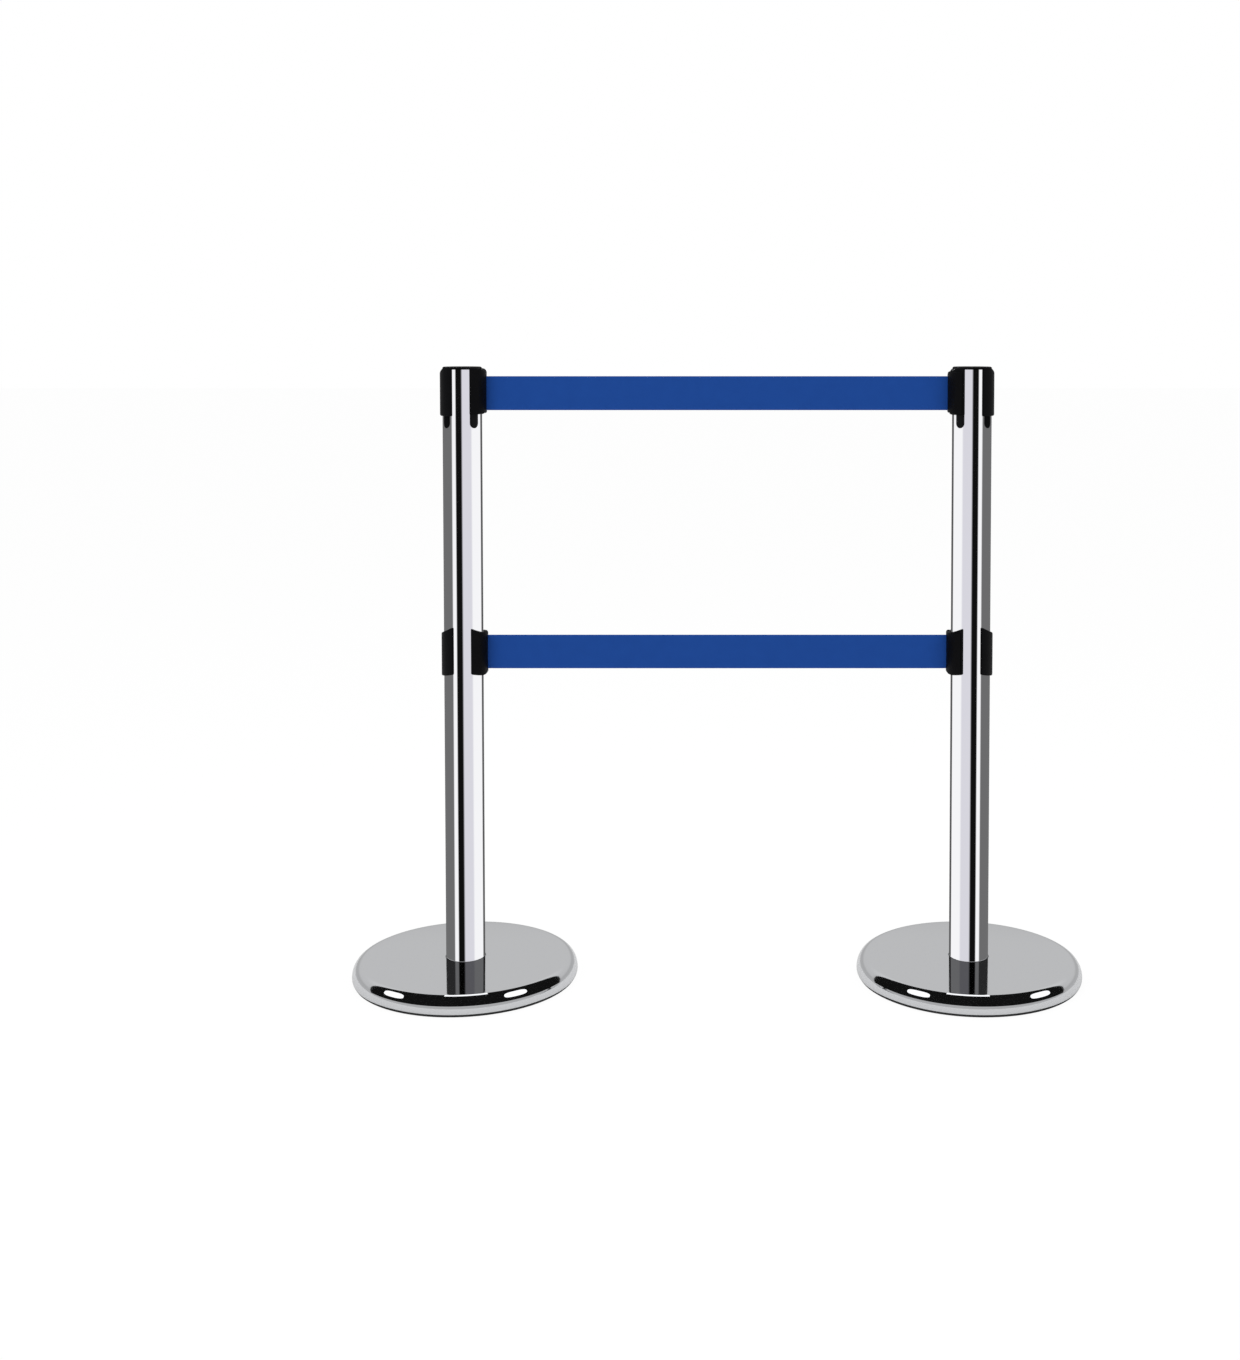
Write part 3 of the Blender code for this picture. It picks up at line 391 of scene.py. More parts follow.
def bend(flat, name, radius, centre_x, facing, material, swell=None):
    """Wraps a flat plate round a post: s runs round it, depth runs out from its surface."""
    work = bmesh.new()
    work.from_mesh(flat.data)
    bpy.data.objects.remove(flat)
    low = min(v.co.x for v in work.verts)
    high = max(v.co.x for v in work.verts)
    count = max(2, round((high - low) / BEND_STEP))
    for index in range(1, count):
        place = low + (high - low) * index / count
        everything = work.verts[:] + work.edges[:] + work.faces[:]
        bmesh.ops.bisect_plane(work, geom=everything, plane_co=(place, 0, 0), plane_no=(1, 0, 0),
                               dist=1e-6)
    for vert in work.verts:
        angle = vert.co.x / radius
        depth = vert.co.y + (swell(math.degrees(angle), vert.co.y) if swell else 0)
        turn = math.radians(facing) + angle
        reach = radius + depth
        vert.co = (centre_x + reach * math.cos(turn), reach * math.sin(turn), vert.co.z)
    return piece(name, work, material)


# ---------------------------------------------------------------- posts and bases

GAP = 0.0003
TUBE_WALL = 0.0015
RIB_WIDTH = 0.0166
RIB_ANGLE = 45
RIB_SLOT_DROP = 0.0557  # from the top belt's middle down to the foot of a slot in the post's head
RIB_SLOT_TOP = 1.1
RIB_TOOL_INNER, RIB_TOOL_OUTER = 0.02, 0.05
RIB_FOOT_STEPS = 16
FLAT_FACE, WALL_FACE = 0.5, 0.99  # how far a face's normal points up, and away from the post's axis
BELT_Z = {level: middle(f"{level}_belt").z for level in LEVELS}
HALF_BELT = (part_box("top_belt")[1].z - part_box("top_belt")[0].z) / 2

# The base's shell: its round shoulder, the rim below it, and how far its top falls towards the shoulder
SHOULDER = 0.017
RIM_HEIGHT = 0.010
CROWN = 0.0015
CROWN_POWER = 1.6
COVER_SHEET = 0.0012
COVER_TUCK = 0.003
COVER_SEAT = 0.046
COVER_HOLE = 0.0066
CROWN_STEPS, SHOULDER_STEPS, RIM_STEPS = 12, 24, 8

LID_BRIM = 0.004
LID_EDGE = 0.003
LID_EDGE_TOP_ANGLE = 84
LID_EDGE_STEPS = 14
LID_HOLE = 0.0018
LID_SCREW_SEAT = 0.0045
LID_SCREW_DEPTH = 0.0025
LID_BEVEL = 0.0006


def radial_normals(obj, centre_x):
    """Gives a turned wall with cut-outs the exact normals of its cylinder, except on its cut faces."""
    mesh = obj.data
    normals = [Vector(corner.vector) for corner in mesh.corner_normals]
    for face in mesh.polygons:
        centre = Vector((face.center.x - centre_x, face.center.y, 0))
        lies_flat = abs(face.normal.z) > FLAT_FACE
        if lies_flat or abs(centre.normalized().dot(face.normal)) < WALL_FACE:
            continue
        sign = 1 if centre.dot(face.normal) > 0 else -1
        for loop in face.loop_indices:
            co = mesh.vertices[mesh.loops[loop].vertex_index].co
            normals[loop] = sign * Vector((co.x - centre_x, co.y, 0)).normalized()
    mesh.normals_split_custom_set(normals)


def rib_slots(centre_x, foot):
    """Cutters for the four slots in a post's head, round at the foot."""
    tools = []
    half = RIB_WIDTH / 2
    outline = [(x, foot + half + y) for x, y in arc(half, 180, 360, RIB_FOOT_STEPS)]
    outline += [(half, RIB_SLOT_TOP), (-half, RIB_SLOT_TOP)]
    for index in range(4):
        tool = slab(outline, RIB_TOOL_INNER, RIB_TOOL_OUTER)
        turn = Matrix.Rotation(math.radians(RIB_ANGLE + 90 * index - 90), 4, "Z")
        tool.data.transform(Matrix.Translation((centre_x, 0, 0)) @ turn)
        tools.append(tool)
    return tools


def make_tube(side):
    """The post's tube, with the slots in its head that show the black ribs behind them."""
    name = f"{side}_post_tube"
    low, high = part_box(name)
    outer, inner = TUBE_RADIUS, TUBE_RADIUS - TUBE_WALL
    profile = [(outer, high.z), (outer, low.z), (inner, low.z), (inner, high.z)]
    tube = lathe(f"{side}_polished_tube", profile, POST_X[side], TUBE_SEGMENTS, CHROME)
    for tool in rib_slots(POST_X[side], BELT_Z["top"] - RIB_SLOT_DROP):
        carve(tube, tool)
    radial_normals(tube, POST_X[side])
    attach(tube, f"{side}_post")
    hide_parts(name)


def shoulder_point(radius, top, angle, clear=0.0):
    """A point of the rounded shoulder, or one that stands clear of it along its normal."""
    rise = top - CROWN - RIM_HEIGHT
    turn = math.radians(angle)
    out = Vector((rise * math.sin(turn), SHOULDER * math.cos(turn))).normalized() * clear
    reach = radius - SHOULDER + SHOULDER * math.sin(turn)
    return (reach + out.x, RIM_HEIGHT + rise * math.cos(turn) + out.y)


def cover_outline(radius, top, foot):
    """The outside of a base's shell, from its hole to its tucked rim."""
    outline = [(COVER_HOLE, top), (COVER_SEAT, top)]
    for step in range(1, CROWN_STEPS):
        share = step / CROWN_STEPS
        reach = COVER_SEAT + (radius - SHOULDER - COVER_SEAT) * share
        outline.append((reach, top - CROWN * share ** CROWN_POWER))
    for step in range(SHOULDER_STEPS + 1):
        outline.append(shoulder_point(radius, top, 90 * step / SHOULDER_STEPS))
    for step in range(1, RIM_STEPS + 1):
        share = step / RIM_STEPS
        outline.append((radius - COVER_TUCK * share ** 2, RIM_HEIGHT - (RIM_HEIGHT - foot) * share))
    return outline


def make_cover(side):
    """The spun shell: a barely crowned top that rolls over a round shoulder to a tucked rim."""
    name = f"{side}_base_cover"
    low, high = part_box(name)
    outline = cover_outline((high.x - low.x) / 2, high.z, low.z)
    back = []
    for index, point in enumerate(outline):
        before = Vector(outline[max(index - 1, 0)])
        after = Vector(outline[min(index + 1, len(outline) - 1)])
        along = (after - before).normalized()
        back.append((point[0] + along.y * COVER_SHEET, point[1] - along.x * COVER_SHEET))
    wall = outline + back[::-1]
    centre = middle(name).x
    cover = lathe(f"{side}_polished_cover", wall, centre, BASE_SEGMENTS, BASE_CHROME, angle=50)
    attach(cover, f"{side}_post")
    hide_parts(name)


def make_lid(side):
    """The lid on a post, with its rounded edge, its spigot and the seat of its screw."""
    name = f"{side}_lid"
    low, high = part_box(name)
    top, foot = high.z, low.z
    brim, seat = top - LID_BRIM, top - LID_SCREW_DEPTH
    spigot, edge = TUBE_RADIUS - TUBE_WALL - GAP, TUBE_RADIUS - LID_EDGE
    outline = [(LID_SCREW_SEAT + LID_BEVEL, top), (edge, top)]
    for x, z in arc(LID_EDGE, LID_EDGE_TOP_ANGLE, 0, LID_EDGE_STEPS):
        outline.append((edge + x, top - LID_EDGE + z))
    outline += [(TUBE_RADIUS, brim), (spigot, brim), (spigot, foot), (LID_HOLE, foot)]
    outline += [(LID_HOLE, seat), (LID_SCREW_SEAT, seat), (LID_SCREW_SEAT, top - LID_BEVEL)]
    lid = lathe(f"{side}_cap", outline, middle(name).x, TUBE_SEGMENTS, BLACK, angle=30)
    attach(lid, f"{side}_post")
    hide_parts(name)


# ---------------------------------------------------------------- bezels and clips

BEZEL_INNER = TUBE_RADIUS + GAP
BEZEL_OUTER = POST_X["left"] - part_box("left_top_outer_bezel")[0].x
BEZEL_DEPTH = BEZEL_OUTER - BEZEL_INNER
NOSE_INNER = BEZEL_OUTER + GAP
NOSE_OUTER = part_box("left_top_outlet_bezel")[1].x - POST_X["left"]
BEZEL_HALF_ANGLE = 60
OUTER_HALF_ANGLE = 67
PLATE_CORNER = 0.0015
EDGE_ROUND = 0.0009
OUTLET_EDGE_SHARE, CLIP_EDGE_SHARE = 0.3, 0.2  # of a plate's edge, from its back: what doesn't swell
CORNER_SOFTNESS = 0.1  # keeps the outline smooth where the plate passes the post's side
OUTLINE_STEPS = 38
CUT_OVER = 0.001  # how far a cutter stands past the plate that it cuts

# A receiver's T-slot, and a clip's neck and T-bar, which run in it
SLOT_HALF_ANGLE = 23
NECK_HALF_ANGLE = 11.5
CLIP_PLAY_ANGLE = 0.6
SLOT_DEPTH = 0.0023
SLOT_FLOOR_DROP = 0.031
SLOT_OPEN_ABOVE = 0.07
NECK_BACK = 0.0012
NECK_OVERLAP = 0.0005
NECK_TOP_DROP = 0.0004

CLIP_HALF_ANGLE = 56
SWELL_HALF_ANGLE = 40
CLIP_EDGE = 0.0012
CLIP_EDGE_ROUND = CLIP_EDGE * 0.7
OUTLET_SLIT_HALF_WIDTH, OUTLET_SLIT_PLAY = 0.0015, 0.0008
CLIP_SLIT_HALF_WIDTH, CLIP_SLIT_PLAY = 0.0006, 0.0007
CLIP_SLIT_BACK, CLIP_SLIT_FRONT = 0.003, 0.02
CAP_HALF_ANGLE = 30
CAP_STEPS = 20
CAP_RISE = 0.0007
CAP_SINK = 0.0008
CAP_INSET = 0.0003

# The lower and the upper edge of each plate in the front view: the height above the belt's middle
# at the post's axis and at the plate's outside, and the radius of the outer corner
BEZEL_EDGES = {
    "top": ((-0.036, -0.036, 0.004), (0.0445, 0.0405, 0.012)),
    "mid": ((-0.029, -0.037, 0.004), (0.0524, 0.0325, 0.005)),
}
OUTLET_EDGES = {
    "top": ((-0.034, -0.0328, 0.005), (0.0445, 0.0385, 0.008)),
    "mid": ((-0.0285, -0.0360, 0.006), (0.0520, 0.0325, 0.005)),
}
INNER_EDGES = {
    "top": ((-0.0340, -0.0345, 0.002), (0.0445, 0.0385, 0.008)),
    "mid": ((-0.0285, -0.0365, 0.003), (0.0520, 0.0325, 0.005)),
}
CLIP_EDGES = {
    "top": ((-0.0335, -0.0325, 0.005), (0.0345, 0.0345, 0.007)),
    "mid": ((-0.0300, -0.0350, 0.005), (0.0370, 0.0325, 0.004)),
}
# At the middle the rear half's top edge stays near level instead of rising towards the axis:
# the photo shows none of it above the front half
REAR_AXIS_HEIGHT = {"top": None, "mid": 0.028}


def span(angle):
    """The length along a plate's back that an angle takes."""
    return math.radians(angle) * BEZEL_INNER


def edge_height(axis_height, reach_height, corner, reach, x):
    """An edge in the front view: straight from the post's axis out to a rounded outer corner."""
    straight = axis_height + (reach_height - axis_height) * x / reach
    over = max(0, x - (reach - corner))
    inward = -1 if axis_height > 0 else 1
    return straight + inward * (corner - math.sqrt(corner ** 2 - over ** 2))


def half_edge(level, edge, angle, facing):
    """The edge at this angle: a top edge has an axis height of its own on the post's rear half."""
    rear = angle > 0 if facing == 0 else angle < 0
    if rear and edge[0] > 0 and REAR_AXIS_HEIGHT[level]:
        return (REAR_AXIS_HEIGHT[level], *edge[1:])
    return edge


def edge_points(level, edge, reach, facing, angles):
    """Points along an edge of a bent plate, unrolled to (s, z)."""
    points = []
    for angle in angles:
        x = reach * math.cos(math.hypot(math.radians(angle), CORNER_SOFTNESS))
        height = edge_height(*half_edge(level, edge, angle, facing), reach, x)
        points.append((span(angle), BELT_Z[level] + height))
    return points


def front_outline(level, edges, reach, half_angle, facing):
    """The outline that gives a bent plate its front view, unrolled to (s, z)."""
    steps = OUTLINE_STEPS
    angles = [half_angle * (2 * index / steps - 1) for index in range(steps + 1)]
    lower = edge_points(level, edges[0], reach, facing, angles)
    upper = edge_points(level, edges[1], reach, facing, [-angle for angle in angles])
    rows = lower + upper
    ends = {0, steps, steps + 1, 2 * steps + 1}
    return fillet(rows, [PLATE_CORNER if index in ends else 0 for index in range(len(rows))])


def swelling(full, thin, inner):
    """Extra depth of a nozzle or clip towards its middle, from a thin edge."""
    def extra(angle, depth):
        """The extra depth at a point: all of it near the middle, none at the edge or the back."""
        share = (CLIP_HALF_ANGLE - abs(angle)) / (CLIP_HALF_ANGLE - SWELL_HALF_ANGLE)
        share = min(max(share, 0), 1)
        rise = (full - thin) * share * share * (3 - 2 * share)
        return rise if depth > inner else 0
    return extra


def cut_box(half_width, low_z, high_z, back, front):
    """A box on a plate's middle line, for cutting it or adding to it."""
    outline = [(-half_width, low_z), (half_width, low_z), (half_width, high_z), (-half_width, high_z)]
    return slab(outline, back, front)


def make_receiver_bezel(side, level, place):
    """A plate round the post with a T-slot, open at the top, that takes a clip."""
    name = f"{side}_{level}_{place}_bezel"
    facing = 180 if (side == "left") == (place == "outer") else 0
    half_angle = OUTER_HALF_ANGLE if place == "outer" else BEZEL_HALF_ANGLE
    edges = BEZEL_EDGES[level] if place == "outer" else INNER_EDGES[level]
    outline = front_outline(level, edges, BEZEL_OUTER, half_angle, facing)
    flat = slab(outline, 0, BEZEL_DEPTH, EDGE_ROUND)
    floor, over = BELT_Z[level] - SLOT_FLOOR_DROP, BELT_Z[level] + SLOT_OPEN_ABOVE
    carve(flat, cut_box(span(NECK_HALF_ANGLE), floor, over, -CUT_OVER, BEZEL_DEPTH + CUT_OVER))
    carve(flat, cut_box(span(SLOT_HALF_ANGLE), floor, over, -CUT_OVER, SLOT_DEPTH))
    bezel = bend(flat, f"{side}_{level}_{place}_receiver", BEZEL_INNER, POST_X[side], facing, BLACK)
    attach(bezel, f"{side}_post")
    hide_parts(name)


def make_outlet_bezel(level):
    """The plate with the slit that the belt leaves by, swelling to a nozzle at its middle."""
    z, reach = BELT_Z[level], HALF_BELT + OUTLET_SLIT_PLAY
    outline = front_outline(level, OUTLET_EDGES[level], NOSE_OUTER, BEZEL_HALF_ANGLE, 0)
    flat = slab(outline, 0, BEZEL_DEPTH, EDGE_ROUND)
    slit = cut_box(OUTLET_SLIT_HALF_WIDTH, z - reach, z + reach, -CUT_OVER, BEZEL_DEPTH + CUT_OVER)
    carve(flat, slit)
    rise = swelling(NOSE_OUTER - BEZEL_OUTER, 0, BEZEL_DEPTH * OUTLET_EDGE_SHARE)
    bezel = bend(flat, f"{level}_belt_outlet", BEZEL_INNER, POST_X["left"], 0, BLACK, rise)
    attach(bezel, "left_post")
    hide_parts(f"left_{level}_outlet_bezel")


def make_clip_cap(level):
    """The cap that closes a clip's top: a thin plate that follows the top edge."""
    angles = [CAP_HALF_ANGLE * (2 * index / CAP_STEPS - 1) for index in range(CAP_STEPS + 1)]
    crest = edge_points(level, CLIP_EDGES[level][1], NOSE_OUTER, 180, angles)
    lower = [(s, height - CAP_SINK) for s, height in crest]
    upper = [(s, height + CAP_RISE) for s, height in reversed(crest)]
    inner, full = NOSE_INNER - BEZEL_INNER, NOSE_OUTER - NOSE_INNER
    flat = slab(lower + upper, inner + CAP_INSET, inner + CLIP_EDGE - CAP_INSET)
    rise = swelling(full, CLIP_EDGE, inner + CLIP_EDGE / 2)
    cap = bend(flat, f"{level}_clip_top_plate", BEZEL_INNER, POST_X["right"], 180, BLACK, rise)
    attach(cap, f"{level}_clip")
    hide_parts(f"{level}_clip_cap")


def make_clip(level):
    """A clip's nose outside its receiver, and the neck and T-bar that run in the slot."""
    name = f"{level}_clip_body"
    z = BELT_Z[level]
    inner, full = NOSE_INNER - BEZEL_INNER, NOSE_OUTER - NOSE_INNER
    outline = front_outline(level, CLIP_EDGES[level], NOSE_OUTER, CLIP_HALF_ANGLE, 180)
    flat = slab(outline, inner, inner + CLIP_EDGE, CLIP_EDGE_ROUND)
    foot, top = z - SLOT_FLOOR_DROP + GAP, z + CLIP_EDGES[level][1][1] - NECK_TOP_DROP
    neck, bar = span(NECK_HALF_ANGLE - CLIP_PLAY_ANGLE), span(SLOT_HALF_ANGLE - CLIP_PLAY_ANGLE)
    carve(flat, cut_box(neck, foot, top, NECK_BACK, inner + NECK_OVERLAP), "UNION")
    carve(flat, cut_box(bar, foot, top, 0.0, SLOT_DEPTH - GAP), "UNION")
    reach = HALF_BELT + CLIP_SLIT_PLAY
    slit = cut_box(CLIP_SLIT_HALF_WIDTH, z - reach, z + reach, CLIP_SLIT_BACK, CLIP_SLIT_FRONT)
    carve(flat, slit)
    rise = swelling(full, CLIP_EDGE, inner + CLIP_EDGE * CLIP_EDGE_SHARE)
    clip = bend(flat, f"{level}_clip_shell", BEZEL_INNER, POST_X["right"], 180, BLACK, rise)
    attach(clip, f"{level}_clip")
    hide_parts(name)


# ---------------------------------------------------------------- belts

BELT_THICKNESS = 0.0005
SELVEDGE = 0.0004  # the bead that thickens the belt beside each edge
SELVEDGE_PLACE, SELVEDGE_SPREAD = 0.001, 0.0008
SELVEDGE_ROWS = (0, 0.0004, 0.0012, 0.0020, 0.0030)
INNER_ROWS = (0.2, 0.4, 0.6, 0.8)
END_LENGTH = 0.085
LEAD_ON_COIL = 25  # how far the lead lies along the coil before it leaves it
LEAD_STEPS = 8


def band_section(z):
    """Rows of (height, half thickness) across the belt, with a fuller selvedge at each edge."""
    rows = []
    for offset in SELVEDGE_ROWS:
        bead = SELVEDGE / 2 * math.exp(-((offset - SELVEDGE_PLACE) / SELVEDGE_SPREAD) ** 2)
        rows.append((z - HALF_BELT + offset, BELT_THICKNESS / 2 + bead))
    rows[0] = (z - HALF_BELT, BELT_THICKNESS / 4)
    mirrored = [(2 * z - height, half) for height, half in reversed(rows)]
    margin = SELVEDGE_ROWS[-1]
    for share in INNER_ROWS:
        rows.append((z - HALF_BELT + margin + share * 2 * (HALF_BELT - margin), BELT_THICKNESS / 2))
    return rows + mirrored


def band(name, spine, z):
    """A woven band that stands on edge along a path seen from above."""
    work = bmesh.new()
    section = band_section(z)
    rings = []
    for index, point in enumerate(spine):
        before = Vector(spine[max(index - 1, 0)])
        after = Vector(spine[min(index + 1, len(spine) - 1)])
        along = (after - before).normalized()
        across = Vector((-along.y, along.x))
        here = Vector(point)
        front = [(*(here - across * half), height) for height, half in section]
        back = [(*(here + across * half), height) for height, half in reversed(section)]
        rings.append([work.verts.new(place) for place in front + back])
    count = len(rings[0])
    for here, after in zip(rings, rings[1:]):
        for j in range(count):
            k = (j + 1) % count
            work.faces.new((here[j], after[j], after[k], here[k]))
    work.faces.new(rings[0])
    work.faces.new(rings[-1][::-1])
    return piece(name, work, WEBBING, angle=50)


def straight(start_x, end_x, step=0.004):
    """A straight path along the belt's run, in short steps so that it can bend."""
    count = max(2, math.ceil(abs(end_x - start_x) / step))
    return [(start_x + (end_x - start_x) * i / count, 0.0) for i in range(count + 1)]


def lead_path(level):
    """From the coil's tangent to the guide pin and round it, with its length."""
    coil_low, coil_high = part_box(f"left_{level}_belt_coil")
    pin = middle(f"left_{level}_guide_pin")
    pin_low, pin_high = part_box(f"left_{level}_guide_pin")
    coil = (coil_high.x - coil_low.x) / 2 + GAP + BELT_THICKNESS / 2
    wrap = (pin_high.x - pin_low.x) / 2 + GAP + BELT_THICKNESS / 2
    centre = Vector((pin.x - POST_X["left"], pin.y))
    lean = math.degrees(math.asin((coil + wrap) / centre.length))
    normal = 90 + math.degrees(math.atan2(centre.y, centre.x)) - lean
    path = arc(coil, normal + LEAD_ON_COIL, normal, LEAD_STEPS)
    path += arc(wrap, normal + 180, 270, LEAD_STEPS, centre)
    length = sum((Vector(b) - Vector(a)).length for a, b in zip(path, path[1:]))
    return [(POST_X["left"] + x, y) for x, y in path], length


def make_belt(level):
    """The belt in three lengths: round the guide pin, along the run, and into the clip."""
    z = BELT_Z[level]
    start = middle(f"left_{level}_guide_pin").x
    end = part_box(f"{level}_belt")[1].x
    join = end - END_LENGTH
    lead, lead_length = lead_path(level)
    lead_piece = band(f"{level}_belt_lead", lead, z)
    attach(lead_piece, "left_post")
    run = band(f"{level}_belt_run", straight(start, join), z)
    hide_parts(f"{level}_belt")
    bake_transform(run)
    tail = band(f"{level}_belt_end", straight(join, end), z)
    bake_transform(tail)


finish_cad_nodes()

for side in SIDES:
    make_tube(side)
    make_cover(side)
    make_lid(side)
    for level in LEVELS:
        make_receiver_bezel(side, level, "outer")
for level in LEVELS:
    make_receiver_bezel("right", level, "inner")
    make_outlet_bezel(level)
    make_clip(level)
    make_clip_cap(level)
    make_belt(level)


# ---------------------------------------------------------------- surroundings and painted reflections

BODY = {side: frame["bodies"][f"{side}_post"] for side in SIDES}
CAMERA_PLACE = Vector((0, -2.818, 1.056))
CAMERA_TURN = math.atan2(POST_X["right"], -CAMERA_PLACE.y)
CAMERA_PITCH = 2.5
CAMERA_SHIFT = (-0.0714, -0.2)
SENSOR_MM, LENS_MM = 36, 46.12

# The floor: its matt colour, the share of it that glows and how brightly, for camera and glossy rays
FLOOR_COLOUR = (0.90, 0.90, 0.90, 1)
FLOOR_SHARE, FLOOR_REFLECTED_SHARE = 0.96, 0.62
FLOOR_SEEN, FLOOR_REFLECTED = 1.0, 0.42
FLOOR_REACH = 30
FLOOR_DROP = 0.0002

# What reflections see of the world, from straight down at 0 to straight up at 1
WORLD_GREYS = (
    (0.0, 0.45), (0.50, 0.50), (0.56, 0.46), (0.60, 0.585), (0.66, 0.60), (0.72, 0.68), (0.85, 0.55),
    (1.0, 0.45),
)
SOFT_LIGHT = 0.75

# Each lamp: its place, where it aims, its size and its power in watts
LAMPS = {
    "key": ((-2.2, -2.6, 3.0), (0, 0, 0.5), (1.6, 1.6), 60),
    "fill": ((2.6, -2.2, 2.2), (0, 0, 0.5), (2.0, 2.0), 30),
    "overhead": ((0, 0.6, 3.2), (0, 0, 0), (2.4, 1.6), 40),
}

# The open cylinder round a post that paints the post's reflection as stripes. A ray sees this, the hood
# or the contact ring only if it set out within the panel's reach
SHELL_RADIUS = 0.0330
SHELL_FOOT, SHELL_TOP = 0.0343, 1.1
SHELL_REACH = 0.012
SHELL_SEGMENTS = 96
POST_GREY = 0.86  # the post's own grey, which the painted reflection's strength makes up for
SECOND_BOUNCE = 0.16  # the painted reflection's strength at a second reflection
# A lilac tint for the pale stripe of the painted reflection
LILAC = (0.975, 0.965, 1.03)

# The stripes of painted reflection: degrees from the camera's line, negative on the post's outer side
PAINTED_REFLECTION_STRIPES = (
    (-180, -170, "white"), (-165, -150, "black"), (-145, -125, "white"), (-110, -35, "grey"),
    (-32, -22, "white"), (-20, -4, "black"), (0, 25, "pale"), (30, 66, "white"), (70, 77, "dark"),
    (90, 120, "grey"), (140, 180, "white"),
)
# The greys of the painted reflection's stripes
PAINTED_REFLECTION_SHADES = {"white": 0.96, "pale": 0.85, "grey": 0.42, "dark": 0.30, "black": 0.06}

# A dark hood close above a base's shoulder that paints its reflection: a dark band, with painted
# highlights in rounded windows lit all round, and in front a painted highlight where its upper part is
# lit too
HOOD_CLEAR = 0.003
HOOD_REACH = 0.005
HOOD_END = 66
HOOD_STEPS = 24
HOOD_INWARD = 0.012
HOOD_SEGMENTS = 240
HOOD_GREY = 0.006
HOOD_LIGHT = 1.3
# The slit: the lit upper part of the hood in front, a painted highlight
SLIT_HALF_WIDTH = 11.5
PAINTED_SLIT_HEIGHT = 0.0350
# The rounded windows: painted highlights
PAINTED_HIGHLIGHT_SPACING = 66
PAINTED_HIGHLIGHT_TURN = 34.5
PAINTED_HIGHLIGHT_HALF_WIDTH = 6.5
PAINTED_HIGHLIGHT_LOW, PAINTED_HIGHLIGHT_HIGH = 0.0255, 0.0332
PAINTED_HIGHLIGHT_POWER = 3.0  # 2 would make them ellipses, and more makes them squarer

# A dark ring under a base's rim that paints a contact shadow into the rim's reflection, from inside the
# rim to outside it
CONTACT_OUT, CONTACT_IN, CONTACT_HEIGHT = 0.003, 0.008, 0.0004
CONTACT_REACH = 0.009
PAINTED_CONTACT_SHADE_GREY = 0.03


def light_path(tree):
    """What kind of ray meets the surface, how far it came and how often it was reflected."""
    return node(tree, "ShaderNodeLightPath").outputs


def value_ramp(tree, source, stops):
    """Colours along a value from 0 to 1, blended between the stops."""
    made = node(tree, "ShaderNodeValToRGB")
    tree.links.new(source, made.inputs["Fac"])
    bar = made.color_ramp
    while len(bar.elements) > 1:
        bar.elements.remove(bar.elements[-1])
    for index, (place, colour) in enumerate(stops):
        element = bar.elements[0] if index == 0 else bar.elements.new(place)
        element.position = place
        element.color = (*colour, 1)
    return made.outputs["Color"]


def linear(shade):
    """The light that a display shows as this shade of grey, by the sRGB curve."""
    return ((shade + 0.055) / 1.055) ** 2.4 if shade > 0.04 else shade / 12.92


def painted_reflection_ramp(tree, turn):
    """The painted reflection's stripes by direction, with a soft step between neighbours."""
    stops = []
    for start, end, shade in PAINTED_REFLECTION_STRIPES:
        tint = LILAC if shade == "pale" else (1, 1, 1)
        colour = scaled(tint, linear(PAINTED_REFLECTION_SHADES[shade]))
        stops += [((degrees + 180) / 360, colour) for degrees in (start, end)]
    return value_ramp(tree, turn, stops)


def mix_shaders(tree, share, first, second):
    """The first node's shader, or the second's where the share is one."""
    mix = node(tree, "ShaderNodeMixShader")
    tree.links.new(share, mix.inputs[0])
    tree.links.new(first.outputs[0], mix.inputs[1])
    tree.links.new(second.outputs[0], mix.inputs[2])
    return mix


def finish_tree(tree, shader, kind="ShaderNodeOutputMaterial"):
    """Makes a node's shader the tree's surface."""
    tree.links.new(shader.outputs[0], node(tree, kind).inputs["Surface"])


def glow_where(tree, seen, colour, strength):
    """Finishes a material that glows where seen is one and lets rays through elsewhere."""
    glow = node(tree, "ShaderNodeEmission")
    feed(tree, glow.inputs["Color"], colour)
    feed(tree, glow.inputs["Strength"], strength)
    clear = node(tree, "ShaderNodeBsdfTransparent")
    finish_tree(tree, mix_shaders(tree, seen, clear, glow))


def near_and_facing(tree, reach):
    """One for a ray that meets the front of the surface within a reach of where it set out."""
    back = node(tree, "ShaderNodeNewGeometry").outputs["Backfacing"]
    facing = math_node(tree, "SUBTRACT", 1.0, back)
    near = math_node(tree, "LESS_THAN", light_path(tree)["Ray Length"], reach)
    return math_node(tree, "MULTIPLY", facing, near)


def stage_material(name):
    """A material with an empty tree, which Cycles doesn't sample as a lamp."""
    material = bpy.data.materials.new(name)
    material.use_nodes = True
    material.node_tree.nodes.clear()
    material.cycles.emission_sampling = "NONE"
    return material, material.node_tree


def around_post(tree, side):
    """The turn round a post from its front, positive towards the other post, and the height."""
    split = node(tree, "ShaderNodeSeparateXYZ")
    tree.links.new(node(tree, "ShaderNodeTexCoord").outputs["Object"], split.inputs[0])
    inward = math_node(tree, "MULTIPLY", split.outputs["X"], -SIDES[side])
    forward = math_node(tree, "MULTIPLY", split.outputs["Y"], -1.0)
    return math_node(tree, "ARCTAN2", inward, forward), split.outputs["Z"]


